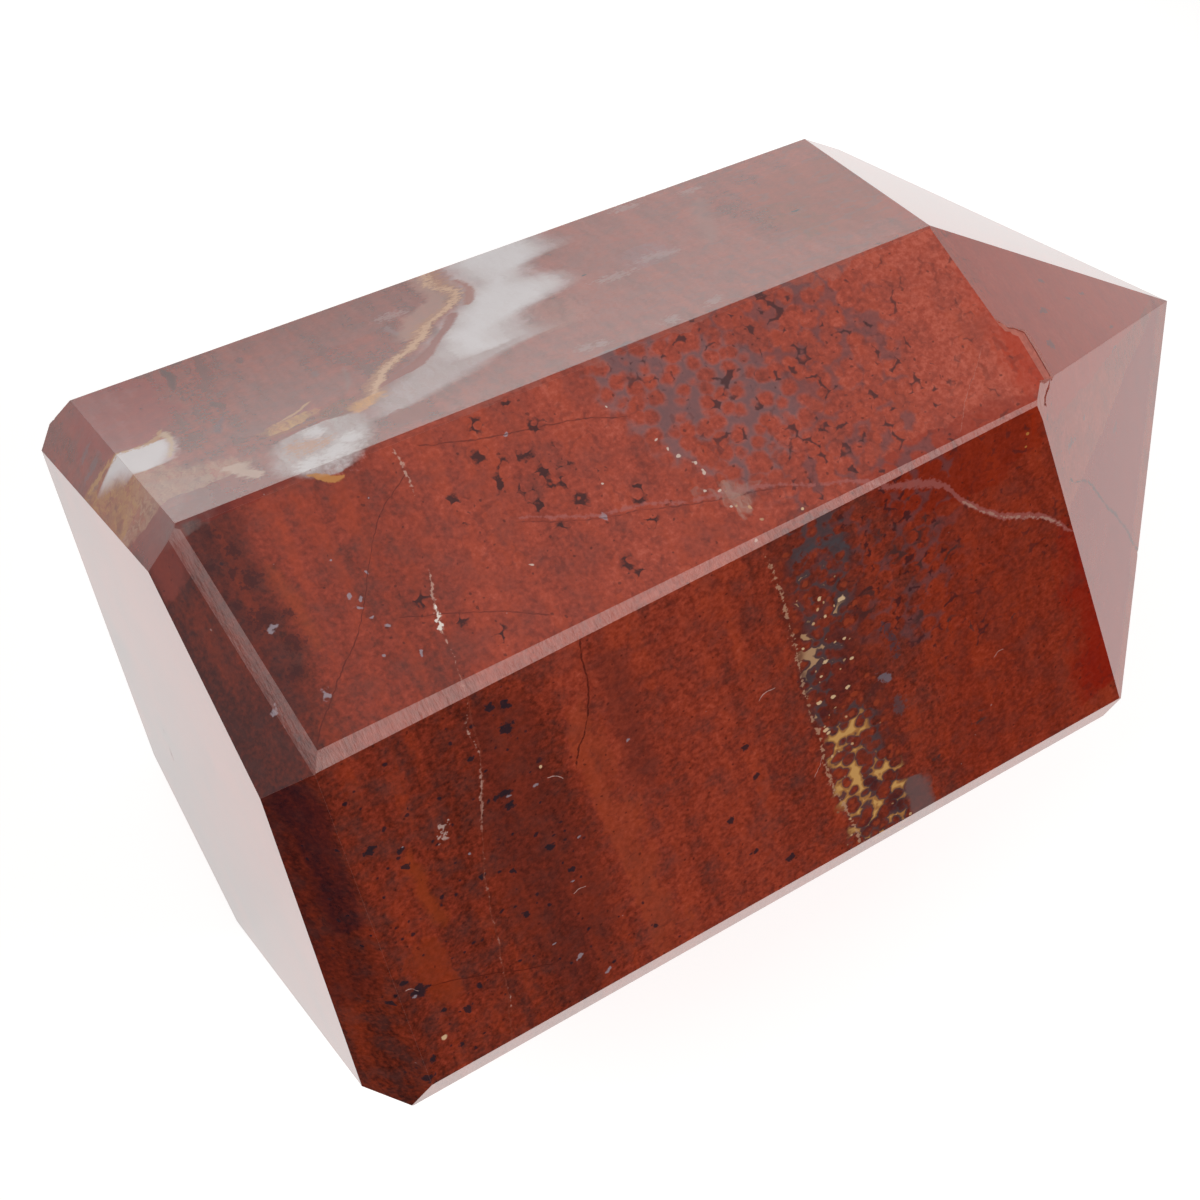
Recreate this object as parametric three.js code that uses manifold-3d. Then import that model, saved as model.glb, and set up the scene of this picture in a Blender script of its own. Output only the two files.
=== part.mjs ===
// A red jasper tower: one stone cut to six sides and a six-sided point, lying on its under side.
// Millimetres, Z up. The base faces -X and the point +X.
import * as THREE from 'three';
import { mergeVertices } from 'three/addons/utils/BufferGeometryUtils.js';
import Module from 'manifold-3d';

const wasm = await Module();
wasm.setup();

// Driving dimensions, in millimetres and degrees. The stone is cut standing on its base with its
// axis along Z, and laid down at the end. A flat is given by three numbers:
//   turn   the way it faces round the axis, counted from the side that ends up on top
//   reach  its distance from the axis at the level of the base
//   lean   how far it leans inwards from upright, towards the point
const sides = {
  back: { turn: -51.8, reach: 36.7, lean: 3.4 },
  top: { turn: 0, reach: 49.3, lean: 3.6 },
  front: { turn: 58.7, reach: 42.8, lean: 3.9 },
  frontUnder: { turn: 124.4, reach: 36.6, lean: 1.6 },
  under: { turn: 179.9, reach: 49.4, lean: 4.3 },
  backUnder: { turn: 241.5, reach: 37.8, lean: 4.6 },
};

// The long edges between the sides are ground off to narrow strips.
const edgeStrips = {
  backEdge: { turn: -89.2, reach: 41.5, lean: 4.4 },
  topBack: { turn: -23.5, reach: 48.1, lean: 3.8 },
  topFront: { turn: 23.5, reach: 52.7, lean: 4.0 },
  frontEdge: { turn: 87.6, reach: 46.0, lean: 3.3 },
  underFront: { turn: 152.2, reach: 47.7, lean: 3.3 },
  underBack: { turn: 210.5, reach: 49.9, lean: 5.1 },
};

// The chamfers round the base widen the stone as they rise, so their lean is negative.
const baseChamfers = {
  back: { turn: -53.0, reach: 32.2, lean: -44.0 },
  top: { turn: 5.3, reach: 44.7, lean: -47.6 },
  front: { turn: 60.2, reach: 37.9, lean: -38.3 },
  frontUnder: { turn: 124.2, reach: 32.5, lean: -44.9 },
  under: { turn: 180.0, reach: 45.6, lean: -44.6 },
  backUnder: { turn: 243.2, reach: 33.8, lean: -45.6 },
};

// The facets of the point all pass through its tip, so a turn and a lean give each one.
const tip = new THREE.Vector3(4.5, 1.4, 123.8);
const pointFacets = {
  back: { turn: -44.9, lean: 42.5 },
  top: { turn: -5.2, lean: 47.9 },
  front: { turn: 51.4, lean: 45.6 },
  frontUnder: { turn: 116.0, lean: 51.0 },
  under: { turn: 180.0, lean: 54.0 },
  backUnder: { turn: 242.0, lean: 54.6 },
};

// The base is ground a little out of square: it leans towards the top side.
const baseTilt = 0.4;

// A knocked corner, dressed to a small facet: how deep it goes below the corner where the strip
// between the top and the front meets the point.
const dressedCorner = { turn: 47.5, lean: 43.8, depth: 0.15 };

// The rough block stands a little below the base, and the cutting slab is wider than the stone.
const block = { width: 130, height: 150, below: 10 };
const slabWidth = 400;

// Corners of a mesh closer than this are one corner.
const sameCorner = 0.005;

const jasperRed = 0x7e2a1c;
const polishedRoughness = 0.12;

// The outward direction of a flat.
function facing(turn, lean) {
  const around = THREE.MathUtils.degToRad(turn);
  const rise = THREE.MathUtils.degToRad(lean);
  return new THREE.Vector3(
    Math.cos(around) * Math.cos(rise),
    Math.sin(around) * Math.cos(rise),
    Math.sin(rise),
  );
}

// The plane that faces a given way and passes through a point.
function planeThrough(point, turn, lean) {
  return new THREE.Plane().setFromNormalAndCoplanarPoint(facing(turn, lean), point);
}

// The plane of a flat that is given by its reach.
function flatPlane({ turn, reach, lean }) {
  return planeThrough(facing(turn, 0).multiplyScalar(reach), turn, lean);
}

// The plane of a facet of the point.
function facetPlane({ turn, lean }) {
  return planeThrough(tip, turn, lean);
}

// The point where three planes meet.
function cornerOf(first, second, third) {
  const corner = new THREE.Vector3();
  corner.addScaledVector(second.normal.clone().cross(third.normal), -first.constant);
  corner.addScaledVector(third.normal.clone().cross(first.normal), -second.constant);
  corner.addScaledVector(first.normal.clone().cross(second.normal), -third.constant);
  return corner.divideScalar(first.normal.dot(second.normal.clone().cross(third.normal)));
}

// A closed solid from a geometry whose faces share their corners.
function toSolid(geometry) {
  const bare = geometry.clone();
  bare.deleteAttribute('normal');
  bare.deleteAttribute('uv');
  const merged = mergeVertices(bare, sameCorner);
  return new wasm.Manifold(new wasm.Mesh({
    numProp: 3,
    vertProperties: Float32Array.from(merged.attributes.position.array),
    triVerts: Uint32Array.from(merged.index.array),
  }));
}

// A geometry with flat faces from a finished solid. Rounding splits the tip into several corners
// a hair apart: they are joined again, and the triangles that close up are dropped.
function toGeometry(solid) {
  const mesh = solid.getMesh();
  const split = new THREE.BufferGeometry();
  split.setAttribute('position', new THREE.BufferAttribute(mesh.vertProperties, 3));
  split.setIndex(new THREE.BufferAttribute(mesh.triVerts, 1));
  const shared = mergeVertices(split, sameCorner);
  const corners = Array.from(shared.index.array);
  const open = [];
  for (let i = 0; i < corners.length; i += 3) {
    const triangle = corners.slice(i, i + 3);
    if (new Set(triangle).size === 3) {
      open.push(...triangle);
    }
  }
  shared.setIndex(open);
  const faceted = shared.toNonIndexed();
  faceted.computeVertexNormals();
  return faceted;
}

// Takes off everything outside a plane, as a flat lap does.
function grind(stone, plane) {
  const waste = new THREE.BoxGeometry(slabWidth, slabWidth, slabWidth);
  const outward = new THREE.Quaternion().setFromUnitVectors(new THREE.Vector3(0, 0, 1), plane.normal);
  const middle = plane.normal.clone().multiplyScalar(slabWidth / 2 - plane.constant);
  waste.applyQuaternion(outward);
  waste.translate(middle.x, middle.y, middle.z);
  return stone.subtract(toSolid(waste));
}

// The facet of the dressed corner.
function dressedCornerPlane() {
  const { turn, lean, depth } = dressedCorner;
  const strip = flatPlane(edgeStrips.topFront);
  const corner = cornerOf(strip, facetPlane(pointFacets.top), facetPlane(pointFacets.front));
  return planeThrough(corner.addScaledVector(facing(turn, lean), -depth), turn, lean);
}

// The stone, standing on its base.
function standingStone() {
  const rough = new THREE.BoxGeometry(block.width, block.width, block.height);
  rough.translate(0, 0, block.height / 2 - block.below);
  const planes = [
    planeThrough(new THREE.Vector3(), 180, -90 + baseTilt),
    ...Object.values(sides).map(flatPlane),
    ...Object.values(edgeStrips).map(flatPlane),
    ...Object.values(baseChamfers).map(flatPlane),
    ...Object.values(pointFacets).map(facetPlane),
    dressedCornerPlane(),
  ];
  return planes.reduce(grind, toSolid(rough));
}

// The turn that lays the stone down: the under side faces the ground and the point faces +X.
function layingDown() {
  const up = flatPlane(sides.under).normal.negate();
  const pointing = new THREE.Vector3(0, 0, 1).projectOnPlane(up).normalize();
  const sideways = up.clone().cross(pointing);
  const lying = new THREE.Matrix4().makeBasis(pointing, sideways, up).invert();
  return new THREE.Quaternion().setFromRotationMatrix(lying);
}

const polishedJasper = new THREE.MeshStandardMaterial({
  color: jasperRed,
  roughness: polishedRoughness,
  metalness: 0,
});

const tower = new THREE.Mesh(toGeometry(standingStone()), polishedJasper);
tower.name = 'jasper_tower';
tower.quaternion.copy(layingDown());

// Centred over the origin and resting on the ground.
tower.updateMatrixWorld(true);
const extent = new THREE.Box3().setFromObject(tower, true);
const centre = extent.getCenter(new THREE.Vector3());
tower.position.set(-centre.x, -centre.y, -extent.min.z);

const group = new THREE.Group();
group.name = 'red_jasper_tower';
group.add(tower);

export default group;
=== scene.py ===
"""A polished red jasper tower, lying on one of its six sides on a pale light table.

Sizes below are in millimetres and degrees, and a scene unit is a metre. Marks on the stone are placed
by two numbers: how far along the stone they are, counted from its middle towards the point, and their
girth, the angle round the stone's length from straight up (0) to the back (90) or the front (-90).
"""

import logging
import math
import random
from dataclasses import dataclass
from enum import Enum
from typing import Any

import bmesh
import bpy
from mathutils import Matrix, Vector
from mathutils.geometry import intersect_line_plane, intersect_plane_plane, intersect_point_line


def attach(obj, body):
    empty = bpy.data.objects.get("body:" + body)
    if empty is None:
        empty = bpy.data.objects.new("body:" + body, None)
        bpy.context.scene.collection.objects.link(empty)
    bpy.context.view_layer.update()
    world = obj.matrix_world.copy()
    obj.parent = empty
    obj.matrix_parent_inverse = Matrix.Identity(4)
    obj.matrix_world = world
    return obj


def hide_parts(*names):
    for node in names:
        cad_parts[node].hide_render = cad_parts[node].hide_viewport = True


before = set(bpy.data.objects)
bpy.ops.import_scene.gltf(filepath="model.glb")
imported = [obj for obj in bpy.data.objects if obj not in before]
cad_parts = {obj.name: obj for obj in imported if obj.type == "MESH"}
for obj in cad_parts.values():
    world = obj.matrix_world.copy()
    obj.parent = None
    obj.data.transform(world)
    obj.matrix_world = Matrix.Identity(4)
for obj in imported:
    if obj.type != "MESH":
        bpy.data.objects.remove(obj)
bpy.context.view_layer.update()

log = logging.getLogger("jasper_tower")

# What can be linked to a node's input: an output, or a node for its first output.
Source = bpy.types.NodeSocket | bpy.types.Node

# One millimetre in scene units.
MM = 0.001

# Corners of a cut nearer to its plane than this lie on it, in scene units.
ON_PLANE = 1e-7

# The line that the girth is counted round: its place across and its height.
AXIS_ACROSS = 1.0
AXIS_HEIGHT = 48.0


def linear(colour: str) -> tuple[float, float, float, float]:
    """Turns an sRGB hex colour into a linear one.

    Args:
        colour: Six hex digits, such as "9b3421".

    Returns:
        Red, green and blue in linear light, and an alpha of 1.
    """
    channels = []
    for start in (0, 2, 4):
        value = int(colour[start:start + 2], 16) / 255
        channels.append(value / 12.92 if value <= 0.04045 else ((value + 0.055) / 1.055) ** 2.4)
    return (*channels, 1.0)


class Flat(Enum):
    """The flats that were ground on the stone, by the way they face."""

    BASE = (-0.998, 0.0, 0.068)
    BACK = (0.106, 0.783, 0.612)
    TOP = (0.137, -0.002, 0.991)
    FRONT = (0.107, -0.853, 0.510)
    FRONT_UNDER = (-0.015, -0.824, -0.567)
    UNDER = (0.0, 0.0, -1.0)
    BACK_UNDER = (0.044, 0.877, -0.479)
    BACK_EDGE = (0.078, 0.997, 0.010)
    TOP_BACK = (0.135, 0.396, 0.908)
    TOP_FRONT = (0.138, -0.399, 0.906)
    FRONT_EDGE = (0.060, -0.998, 0.036)
    TOP_CHAMFER = (-0.686, -0.063, 0.725)
    FRONT_CHAMFER = (-0.589, -0.682, 0.434)
    BACK_CHAMFER = (-0.660, 0.574, 0.485)
    POINT_BACK = (0.713, 0.520, 0.471)
    POINT_TOP = (0.790, 0.060, 0.610)
    POINT_FRONT = (0.745, -0.548, 0.381)
    POINT_FRONT_UNDER = (0.754, -0.565, -0.334)
    POINT_UNDER = (0.763, 0.001, -0.647)
    POINT_BACK_UNDER = (0.793, 0.512, -0.331)
    DRESSED_CORNER = (0.727, -0.533, 0.433)
    FRONT_UNDER_CHAMFER = (-0.734, -0.585, -0.345)
    UNDER_CHAMFER = (-0.754, 0.001, -0.657)
    BACK_UNDER_CHAMFER = (-0.736, 0.625, -0.260)
    UNDER_FRONT_EDGE = (-0.009, -0.464, -0.886)
    UNDER_BACK_EDGE = (0.024, 0.507, -0.862)
    ROLLED_EDGE = (-0.49, -0.05, 0.87)

    def facing(self) -> Vector:
        """Gives the direction that the flat faces, with length 1."""
        return Vector(self.value).normalized()


class Graph:
    """A node tree that grows one node at a time."""

    def __init__(self, tree: bpy.types.NodeTree) -> None:
        """Starts from an empty tree."""
        self.tree = tree
        self.tree.nodes.clear()

    def node(
        self,
        kind: str,
        inputs: dict[str | int, Any] | None = None,
        points: list[tuple[float, float]] | None = None,
        stops: list[tuple[float, str]] | None = None,
        **settings: Any,
    ) -> bpy.types.Node:
        """Adds a node with its settings and links.

        Args:
            kind: The node's type without its prefix, such as "Math".
            inputs: For each input, by name or number, a value, or a node or output to link.
            points: The points of the node's curve, for a node that has one.
            stops: The places and colours of the node's ramp, for a node that has one.
            settings: The node's own properties.

        Returns:
            The new node.
        """
        made = self.tree.nodes.new("ShaderNode" + kind)
        for name, value in settings.items():
            setattr(made, name, value)
        if points:
            self.draw_curve(made.mapping, sorted(points))
        if stops:
            self.fill_ramp(made.color_ramp, stops)
        for name, value in (inputs or {}).items():
            if isinstance(name, int):
                socket = made.inputs[name]
            else:
                socket = next(s for s in made.inputs if s.enabled and s.name == name)
            if isinstance(value, bpy.types.Node):
                value = next(s for s in value.outputs if s.enabled)
            if isinstance(value, bpy.types.NodeSocket):
                self.tree.links.new(value, socket)
            else:
                socket.default_value = value
        return made

    def draw_curve(self, mapping: bpy.types.CurveMapping, points: list[tuple[float, float]]) -> None:
        """Leads a node's curve through points, level beyond its two ends.

        Args:
            mapping: The node's curve.
            points: Its points, in order, in the real units of what they turn into what.
        """
        mapping.clip_min_x = points[0][0]
        mapping.clip_max_x = points[-1][0]
        mapping.clip_min_y = min(value for _, value in points) - 1.0
        mapping.clip_max_y = max(value for _, value in points) + 1.0
        mapping.extend = "HORIZONTAL"
        curve = mapping.curves[0]
        curve.points[0].location = points[0]
        curve.points[-1].location = points[-1]
        for point in points[1:-1]:
            curve.points.new(*point)
        for point in curve.points:
            point.handle_type = "AUTO_CLAMPED"
        mapping.update()

    def fill_ramp(self, ramp: bpy.types.ColorRamp, stops: list[tuple[float, str]]) -> None:
        """Fills a node's colour ramp.

        Args:
            ramp: The node's ramp.
            stops: The place and the sRGB hex colour of each stop, in order.
        """
        while len(ramp.elements) < len(stops):
            ramp.elements.new(1.0)
        for element, (place, colour) in zip(ramp.elements, stops):
            element.position = place
            element.color = linear(colour)


def start_material(name: str) -> tuple[bpy.types.Material, Graph]:
    """Adds a material with an empty node tree.

    Args:
        name: Its name.

    Returns:
        The material and its nodes.
    """
    made = bpy.data.materials.new(name)
    made.use_nodes = True
    return made, Graph(made.node_tree)


def add_object(name: str, data: bpy.types.ID) -> bpy.types.Object:
    """Adds an object to the scene.

    Args:
        name: Its name.
        data: Its mesh, light or camera.

    Returns:
        The object.
    """
    made = bpy.data.objects.new(name, data)
    bpy.context.scene.collection.objects.link(made)
    return made


@dataclass(frozen=True)
class LightPad:
    """A light pad under matt white paper: plain, with no gloss and no grain, brightest in its middle."""

    colour: str = "c6c6c4"
    # The glow is even out to the first distance from the middle, and has faded by the second.
    middle_glow: float = 0.70
    edge_glow: float = 0.05
    even_to: float = 60.0
    faded_at: float = 235.0

    def material(self) -> bpy.types.Material:
        """Makes the pad's material.

        Returns:
            The material.
        """
        made, graph = start_material("light_pad")
        place = graph.node("TexCoord")
        distance = graph.node("VectorMath", {0: place.outputs["Object"]}, operation="LENGTH")
        glow = graph.node("MapRange", {
            "Value": distance,
            "From Min": self.even_to * MM,
            "From Max": self.faded_at * MM,
            "To Min": self.middle_glow,
            "To Max": self.edge_glow,
        }, interpolation_type="SMOOTHSTEP")
        shader = graph.node("BsdfPrincipled", {
            "Base Color": linear(self.colour),
            "Roughness": 1.0,
            "Specular IOR Level": 0.0,
            "Emission Color": (1.0, 1.0, 1.0, 1.0),
            "Emission Strength": glow,
        })
        graph.node("OutputMaterial", {"Surface": shader})
        return made


@dataclass(frozen=True)
class CardBoard:
    """Matt dyed card that tones down what the stone mirrors."""

    name: str = "black_card"
    colour: str = "171513"
    # A graded card lets the paper under it show towards its far edge and towards the point. For the
    # way back (Y) and the way along (X): where it is whole, and where nothing is left of it.
    graded: bool = False
    fades: tuple[tuple[str, float, float], ...] = (("Y", 104.0, 158.0), ("X", -50.0, 110.0))

    def material(self) -> bpy.types.Material:
        """Makes the card's material.

        Returns:
            The material.
        """
        made, graph = start_material(self.name)
        card = graph.node("BsdfPrincipled", {
            "Base Color": linear(self.colour),
            "Roughness": 1.0,
            "Specular IOR Level": 0.0,
        })
        if self.graded:
            place = graph.node("SeparateXYZ", {0: graph.node("TexCoord").outputs["Object"]})
            back, side = [
                graph.node("MapRange", {
                    "Value": place.outputs[axis],
                    "From Min": whole * MM,
                    "From Max": gone * MM,
                    "To Min": 1.0,
                    "To Max": 0.0,
                }, interpolation_type="SMOOTHSTEP")
                for axis, whole, gone in self.fades
            ]
            cover = graph.node("Math", {0: back, 1: side}, operation="MULTIPLY")
            card = graph.node("MixShader", {0: cover, 1: graph.node("BsdfTransparent"), 2: card})
        graph.node("OutputMaterial", {"Surface": card})
        return made


class Wander(Enum):
    """How far a marking strays from its drawn line, in millimetres: in slow bends and in fine teeth."""

    STEADY = (0.25, 0.08)
    UNEVEN = (0.8, 0.22)
    RAGGED = (1.7, 0.45)


class Run(Enum):
    """Which way a vein runs: round the stone, or along it."""

    ROUND = "round"
    ALONG = "along"


@dataclass(frozen=True)
class Span:
    """A part of the stone, from one place along it to another and from one girth to another."""

    along: tuple[float, float]
    girths: tuple[float, float]
    # How far a wandering border may stray, in millimetres or degrees.
    stray: float = 2.0

    @classmethod
    def around(cls, alongs: list[float], girths: list[float]) -> "Span":
        """Gives the part that holds all the given places and girths."""
        return cls((min(alongs), max(alongs)), (min(girths), max(girths)))

    def meets(self, other: "Span") -> bool:
        """Tells whether two parts overlap, or nearly."""
        pairs = ((self.along, other.along), (self.girths, other.girths))
        return all(a[0] < b[1] + self.stray and b[0] < a[1] + self.stray for a, b in pairs)


class StoneMap:
    """The place of a point on the stone, straight and bent by noise, as the markings are drawn by it."""

    # Millimetres of surface for one degree of girth, at the stone's middle thickness. A curve takes
    # no place further out than 100, so the girths of markings stay within 128 degrees of the top.
    mm_per_degree = 0.78
    # Waves for each millimetre: of the bends of the markings, of their fine teeth, and of the grains.
    # Grains are a twentieth of a millimetre; a quarter is the finest that shows.
    bends = 0.16
    teeth = 1.1
    grains = 1.9
    # Bedding one to three millimetres thick lies across the stone, so its streaks run round it.
    bedding = (0.55, 0.07, 0.07)
    # Threads of chalcedony in the pale clouds are a quarter of a millimetre thick.
    thread = (4.4, 5.0, 3.2)
    # How far the fine teeth bend the bedding and the cells, how irregular the cells are, and how many
    # waves for each cell the growing and shrinking of the spots between them has.
    bedding_bend = (0.35, 0.35, 0.35)
    cell_bend = (0.15, 0.15, 0.15)
    scatter = 0.95
    change = 0.3
    # How strong each finer layer of a noise is, and the part of it that is spread from -0.5 to 0.5. The
    # factor and the shift spread the same part from -1 to 1 along each axis.
    roughness = 0.6
    noise_range = (0.25, 0.75)
    stir_factor = (4.0, 4.0, 4.0)
    stir_shift = (-2.0, -2.0, -2.0)

    def __init__(self, graph: Graph) -> None:
        """Adds the nodes that find a point's place.

        Args:
            graph: The nodes of the material.
        """
        self.graph = graph
        metres = graph.node("TexCoord").outputs["Object"]
        self.place = graph.node("VectorMath", {0: metres, "Scale": 1.0 / MM}, operation="SCALE")
        axes = graph.node("SeparateXYZ", {0: self.place})
        self.along = axes.outputs["X"]
        sideways = graph.node("Math", {0: axes.outputs["Y"], 1: AXIS_ACROSS}, operation="SUBTRACT")
        upwards = graph.node("Math", {0: axes.outputs["Z"], 1: AXIS_HEIGHT}, operation="SUBTRACT")
        angle = graph.node("Math", {0: sideways, 1: upwards}, operation="ARCTAN2")
        self.girth = graph.node("Math", {0: angle}, operation="DEGREES")
        self.slow = self.stir(self.bends, 1.0)
        self.fine = self.stir(self.teeth, 1.0)
        beds = graph.node(
            "VectorMath", {0: self.fine, 1: self.bedding_bend, 2: self.place}, operation="MULTIPLY_ADD"
        )
        beds = graph.node("VectorMath", {0: beds, 1: self.bedding}, operation="MULTIPLY")
        threads = graph.node("VectorMath", {0: beds, 1: self.thread}, operation="MULTIPLY")
        self.streaks = self.noise(beds, 1.0, 5.0)
        self.threads = self.noise(threads, 1.0, 4.0)
        self.grain = self.noise(self.place, self.grains, 2.0)
        self.bent: dict[Wander, tuple[Source, Source, Source]] = {}
        self.cells: dict[float, tuple[Source, bpy.types.Node, Source]] = {}

    def noise(self, place: Source, scale: float, detail: float) -> bpy.types.NodeSocket:
        """Adds noise around 0, mostly between -0.5 and 0.5.

        Args:
            place: Where it is looked up.
            scale: Its waves for each unit of the place.
            detail: How many finer layers it has.

        Returns:
            The output with the noise.
        """
        noise = self.graph.node("TexNoise", {
            "Vector": place,
            "Scale": scale,
            "Detail": detail,
            "Roughness": self.roughness,
        })
        return self.graph.node("MapRange", {
            "Value": noise.outputs["Fac"],
            "From Min": self.noise_range[0],
            "From Max": self.noise_range[1],
            "To Min": -0.5,
            "To Max": 0.5,
        }).outputs["Result"]

    def stir(self, scale: float, detail: float) -> bpy.types.Node:
        """Adds noise that pushes a point about, from about -1 to 1 along each axis.

        Args:
            scale: Waves of the noise for each millimetre.
            detail: How many finer layers it has.

        Returns:
            The node with the push.
        """
        noise = self.graph.node("TexNoise", {"Vector": self.place, "Scale": scale, "Detail": detail})
        return self.graph.node("VectorMath", {
            0: noise.outputs["Color"],
            1: self.stir_factor,
            2: self.stir_shift,
        }, operation="MULTIPLY_ADD")

    def at(self, wander: Wander) -> tuple[Source, Source, Source]:
        """Gives the place along the stone and round it, in millimetres.

        Args:
            wander: How far noise bends them.

        Returns:
            The outputs with the place along, the place round it and both as a vector.
        """
        if wander not in self.bent:
            graph = self.graph
            both = graph.node("CombineXYZ", {
                0: self.along,
                1: graph.node("Math", {0: self.girth, 1: self.mm_per_degree}, operation="MULTIPLY"),
            })
            for push, reach in zip((self.slow, self.fine), wander.value):
                both = graph.node(
                    "VectorMath", {0: push, 1: (reach, reach, 0.0), 2: both}, operation="MULTIPLY_ADD"
                )
            parts = graph.node("SeparateXYZ", {0: both})
            self.bent[wander] = (parts.outputs["X"], parts.outputs["Y"], both)
        return self.bent[wander]

    def orbs(self, size: float) -> tuple[Source, bpy.types.Node, Source]:
        """Divides the stone into cells around orbs or grains.

        Args:
            size: The distance between the middles of two cells, in millimetres.

        Returns:
            The output with the distance from the nearest middle as a share of the size, the node with
            three random numbers for each cell, and the output with noise over a few cells.
        """
        if size not in self.cells:
            pushed = self.graph.node(
                "VectorMath", {0: self.fine, 1: self.cell_bend, 2: self.place}, operation="MULTIPLY_ADD"
            )
            cell = self.graph.node(
                "TexVoronoi",
                {"Vector": pushed, "Scale": 1.0 / size, "Randomness": self.scatter},
                feature="F1",
            )
            chance = self.graph.node("SeparateXYZ", {0: cell.outputs["Color"]})
            changing = self.noise(self.place, self.change / size, 1.0)
            self.cells[size] = (cell.outputs["Distance"], chance, changing)
        return self.cells[size]

    def cover(self, inside: Source, push: Source, amount: float, soft: float) -> bpy.types.Node:
        """Turns a distance inside a border into how far a marking covers the stone.

        Args:
            inside: The distance inside the border, below 0 outside it.
            push: Noise that moves the border.
            amount: How far it moves it.
            soft: How wide the border is.

        Returns:
            The node whose value is 1 on the marking and 0 off it.
        """
        if amount:
            inside = self.graph.node("Math", {0: push, 1: amount, 2: inside}, operation="MULTIPLY_ADD")
        return self.graph.node("MapRange", {
            "Value": inside,
            "From Min": -0.5 * soft,
            "From Max": 0.5 * soft,
        }, interpolation_type="SMOOTHSTEP")


@dataclass(frozen=True)
class Vein:
    """A thin crack, band or filled seam, drawn through points with its width at each."""

    colour: str
    # Place along, girth and width of each point. Where the width is 0, the vein has ended, and a
    # little below 0 only scattered grains of it show.
    path: tuple[tuple[float, float, float], ...]
    strength: float = 1.0
    run: Run = Run.ROUND
    wander: Wander = Wander.STEADY
    soft: float = 0.25
    # How far its grains make its sides ragged.
    ragged: float = 0.3

    def span(self) -> Span:
        """Gives the part of the stone that it lies in."""
        return Span.around([x for x, _, _ in self.path], [girth for _, girth, _ in self.path])

    def mask(self, stone: StoneMap) -> bpy.types.Node:
        """Adds the nodes that tell where the vein is.

        Args:
            stone: The map of the stone.

        Returns:
            The node whose value is 1 on the vein and 0 off it.
        """
        graph = stone.graph
        along, around, _ = stone.at(self.wander)
        places = [(x, girth * stone.mm_per_degree) for x, girth, _ in self.path]
        drive, cross = along, around
        if self.run is Run.ROUND:
            drive, cross = around, along
            places = [(y, x) for x, y in places]
        widths = [width / 2 or -self.soft - self.ragged for _, _, width in self.path]
        halves = [(place, half) for (place, _), half in zip(places, widths)]
        centre = graph.node("FloatCurve", {"Value": drive}, points=places)
        half = graph.node("FloatCurve", {"Value": drive}, points=halves)
        offset = graph.node("Math", {0: cross, 1: centre}, operation="SUBTRACT")
        away = graph.node("Math", {0: offset}, operation="ABSOLUTE")
        inside = graph.node("Math", {0: half, 1: away}, operation="SUBTRACT")
        return stone.cover(inside, stone.grain, self.ragged, self.soft)


@dataclass(frozen=True)
class Patch:
    """A patch of one mineral, drawn by its two ends along the stone at several girths."""

    colour: str
    # Girth, and the places along of its base end and its point end.
    rows: tuple[tuple[float, float, float], ...]
    strength: float = 1.0
    wander: Wander = Wander.UNEVEN
    soft: float = 0.8
    # How far the bedding frays its ends.
    fray: float = 0.0
    # How far past its first and last girth it has closed.
    closing: float = 1.5
    # How much of the stone below shows through it, in threads, and the part of their noise from a
    # whole thread to none.
    veil: float = 0.0
    thread_range: tuple[float, float] = (-0.3, 0.3)

    def span(self) -> Span:
        """Gives the part of the stone that it lies in."""
        ends = [x for _, low, high in self.rows for x in (low, high)]
        return Span.around(ends, [girth for girth, _, _ in self.rows])

    def mask(self, stone: StoneMap) -> bpy.types.Node:
        """Adds the nodes that tell where the patch is.

        Args:
            stone: The map of the stone.

        Returns:
            The node whose value is 1 on the patch and 0 off it.
        """
        graph = stone.graph
        along, around, _ = stone.at(self.wander)
        ended = 0.5 * self.soft + 0.5 * self.fray
        rows = sorted(self.rows)
        closed = [(g, (low + high) / 2) for g, low, high in (rows[0], rows[-1])]
        rows = [
            (closed[0][0] - self.closing, closed[0][1], closed[0][1]),
            *rows,
            (closed[1][0] + self.closing, closed[1][1], closed[1][1]),
        ]
        scale = stone.mm_per_degree
        starts = [(g * scale, low if low < high else low + ended) for g, low, high in rows]
        ends = [(g * scale, high if low < high else high - ended) for g, low, high in rows]
        start = graph.node("FloatCurve", {"Value": around}, points=starts)
        end = graph.node("FloatCurve", {"Value": around}, points=ends)
        inside = graph.node("Math", {
            0: graph.node("Math", {0: along, 1: start}, operation="SUBTRACT"),
            1: graph.node("Math", {0: end, 1: along}, operation="SUBTRACT"),
        }, operation="MINIMUM")
        mask = stone.cover(inside, stone.streaks, self.fray, self.soft)
        if self.veil:
            kept = graph.node("MapRange", {
                "Value": stone.threads,
                "From Min": self.thread_range[0],
                "From Max": self.thread_range[1],
                "To Min": 1.0 - self.veil,
            })
            mask = graph.node("Math", {0: mask, 1: kept}, operation="MULTIPLY")
        return mask


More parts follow.
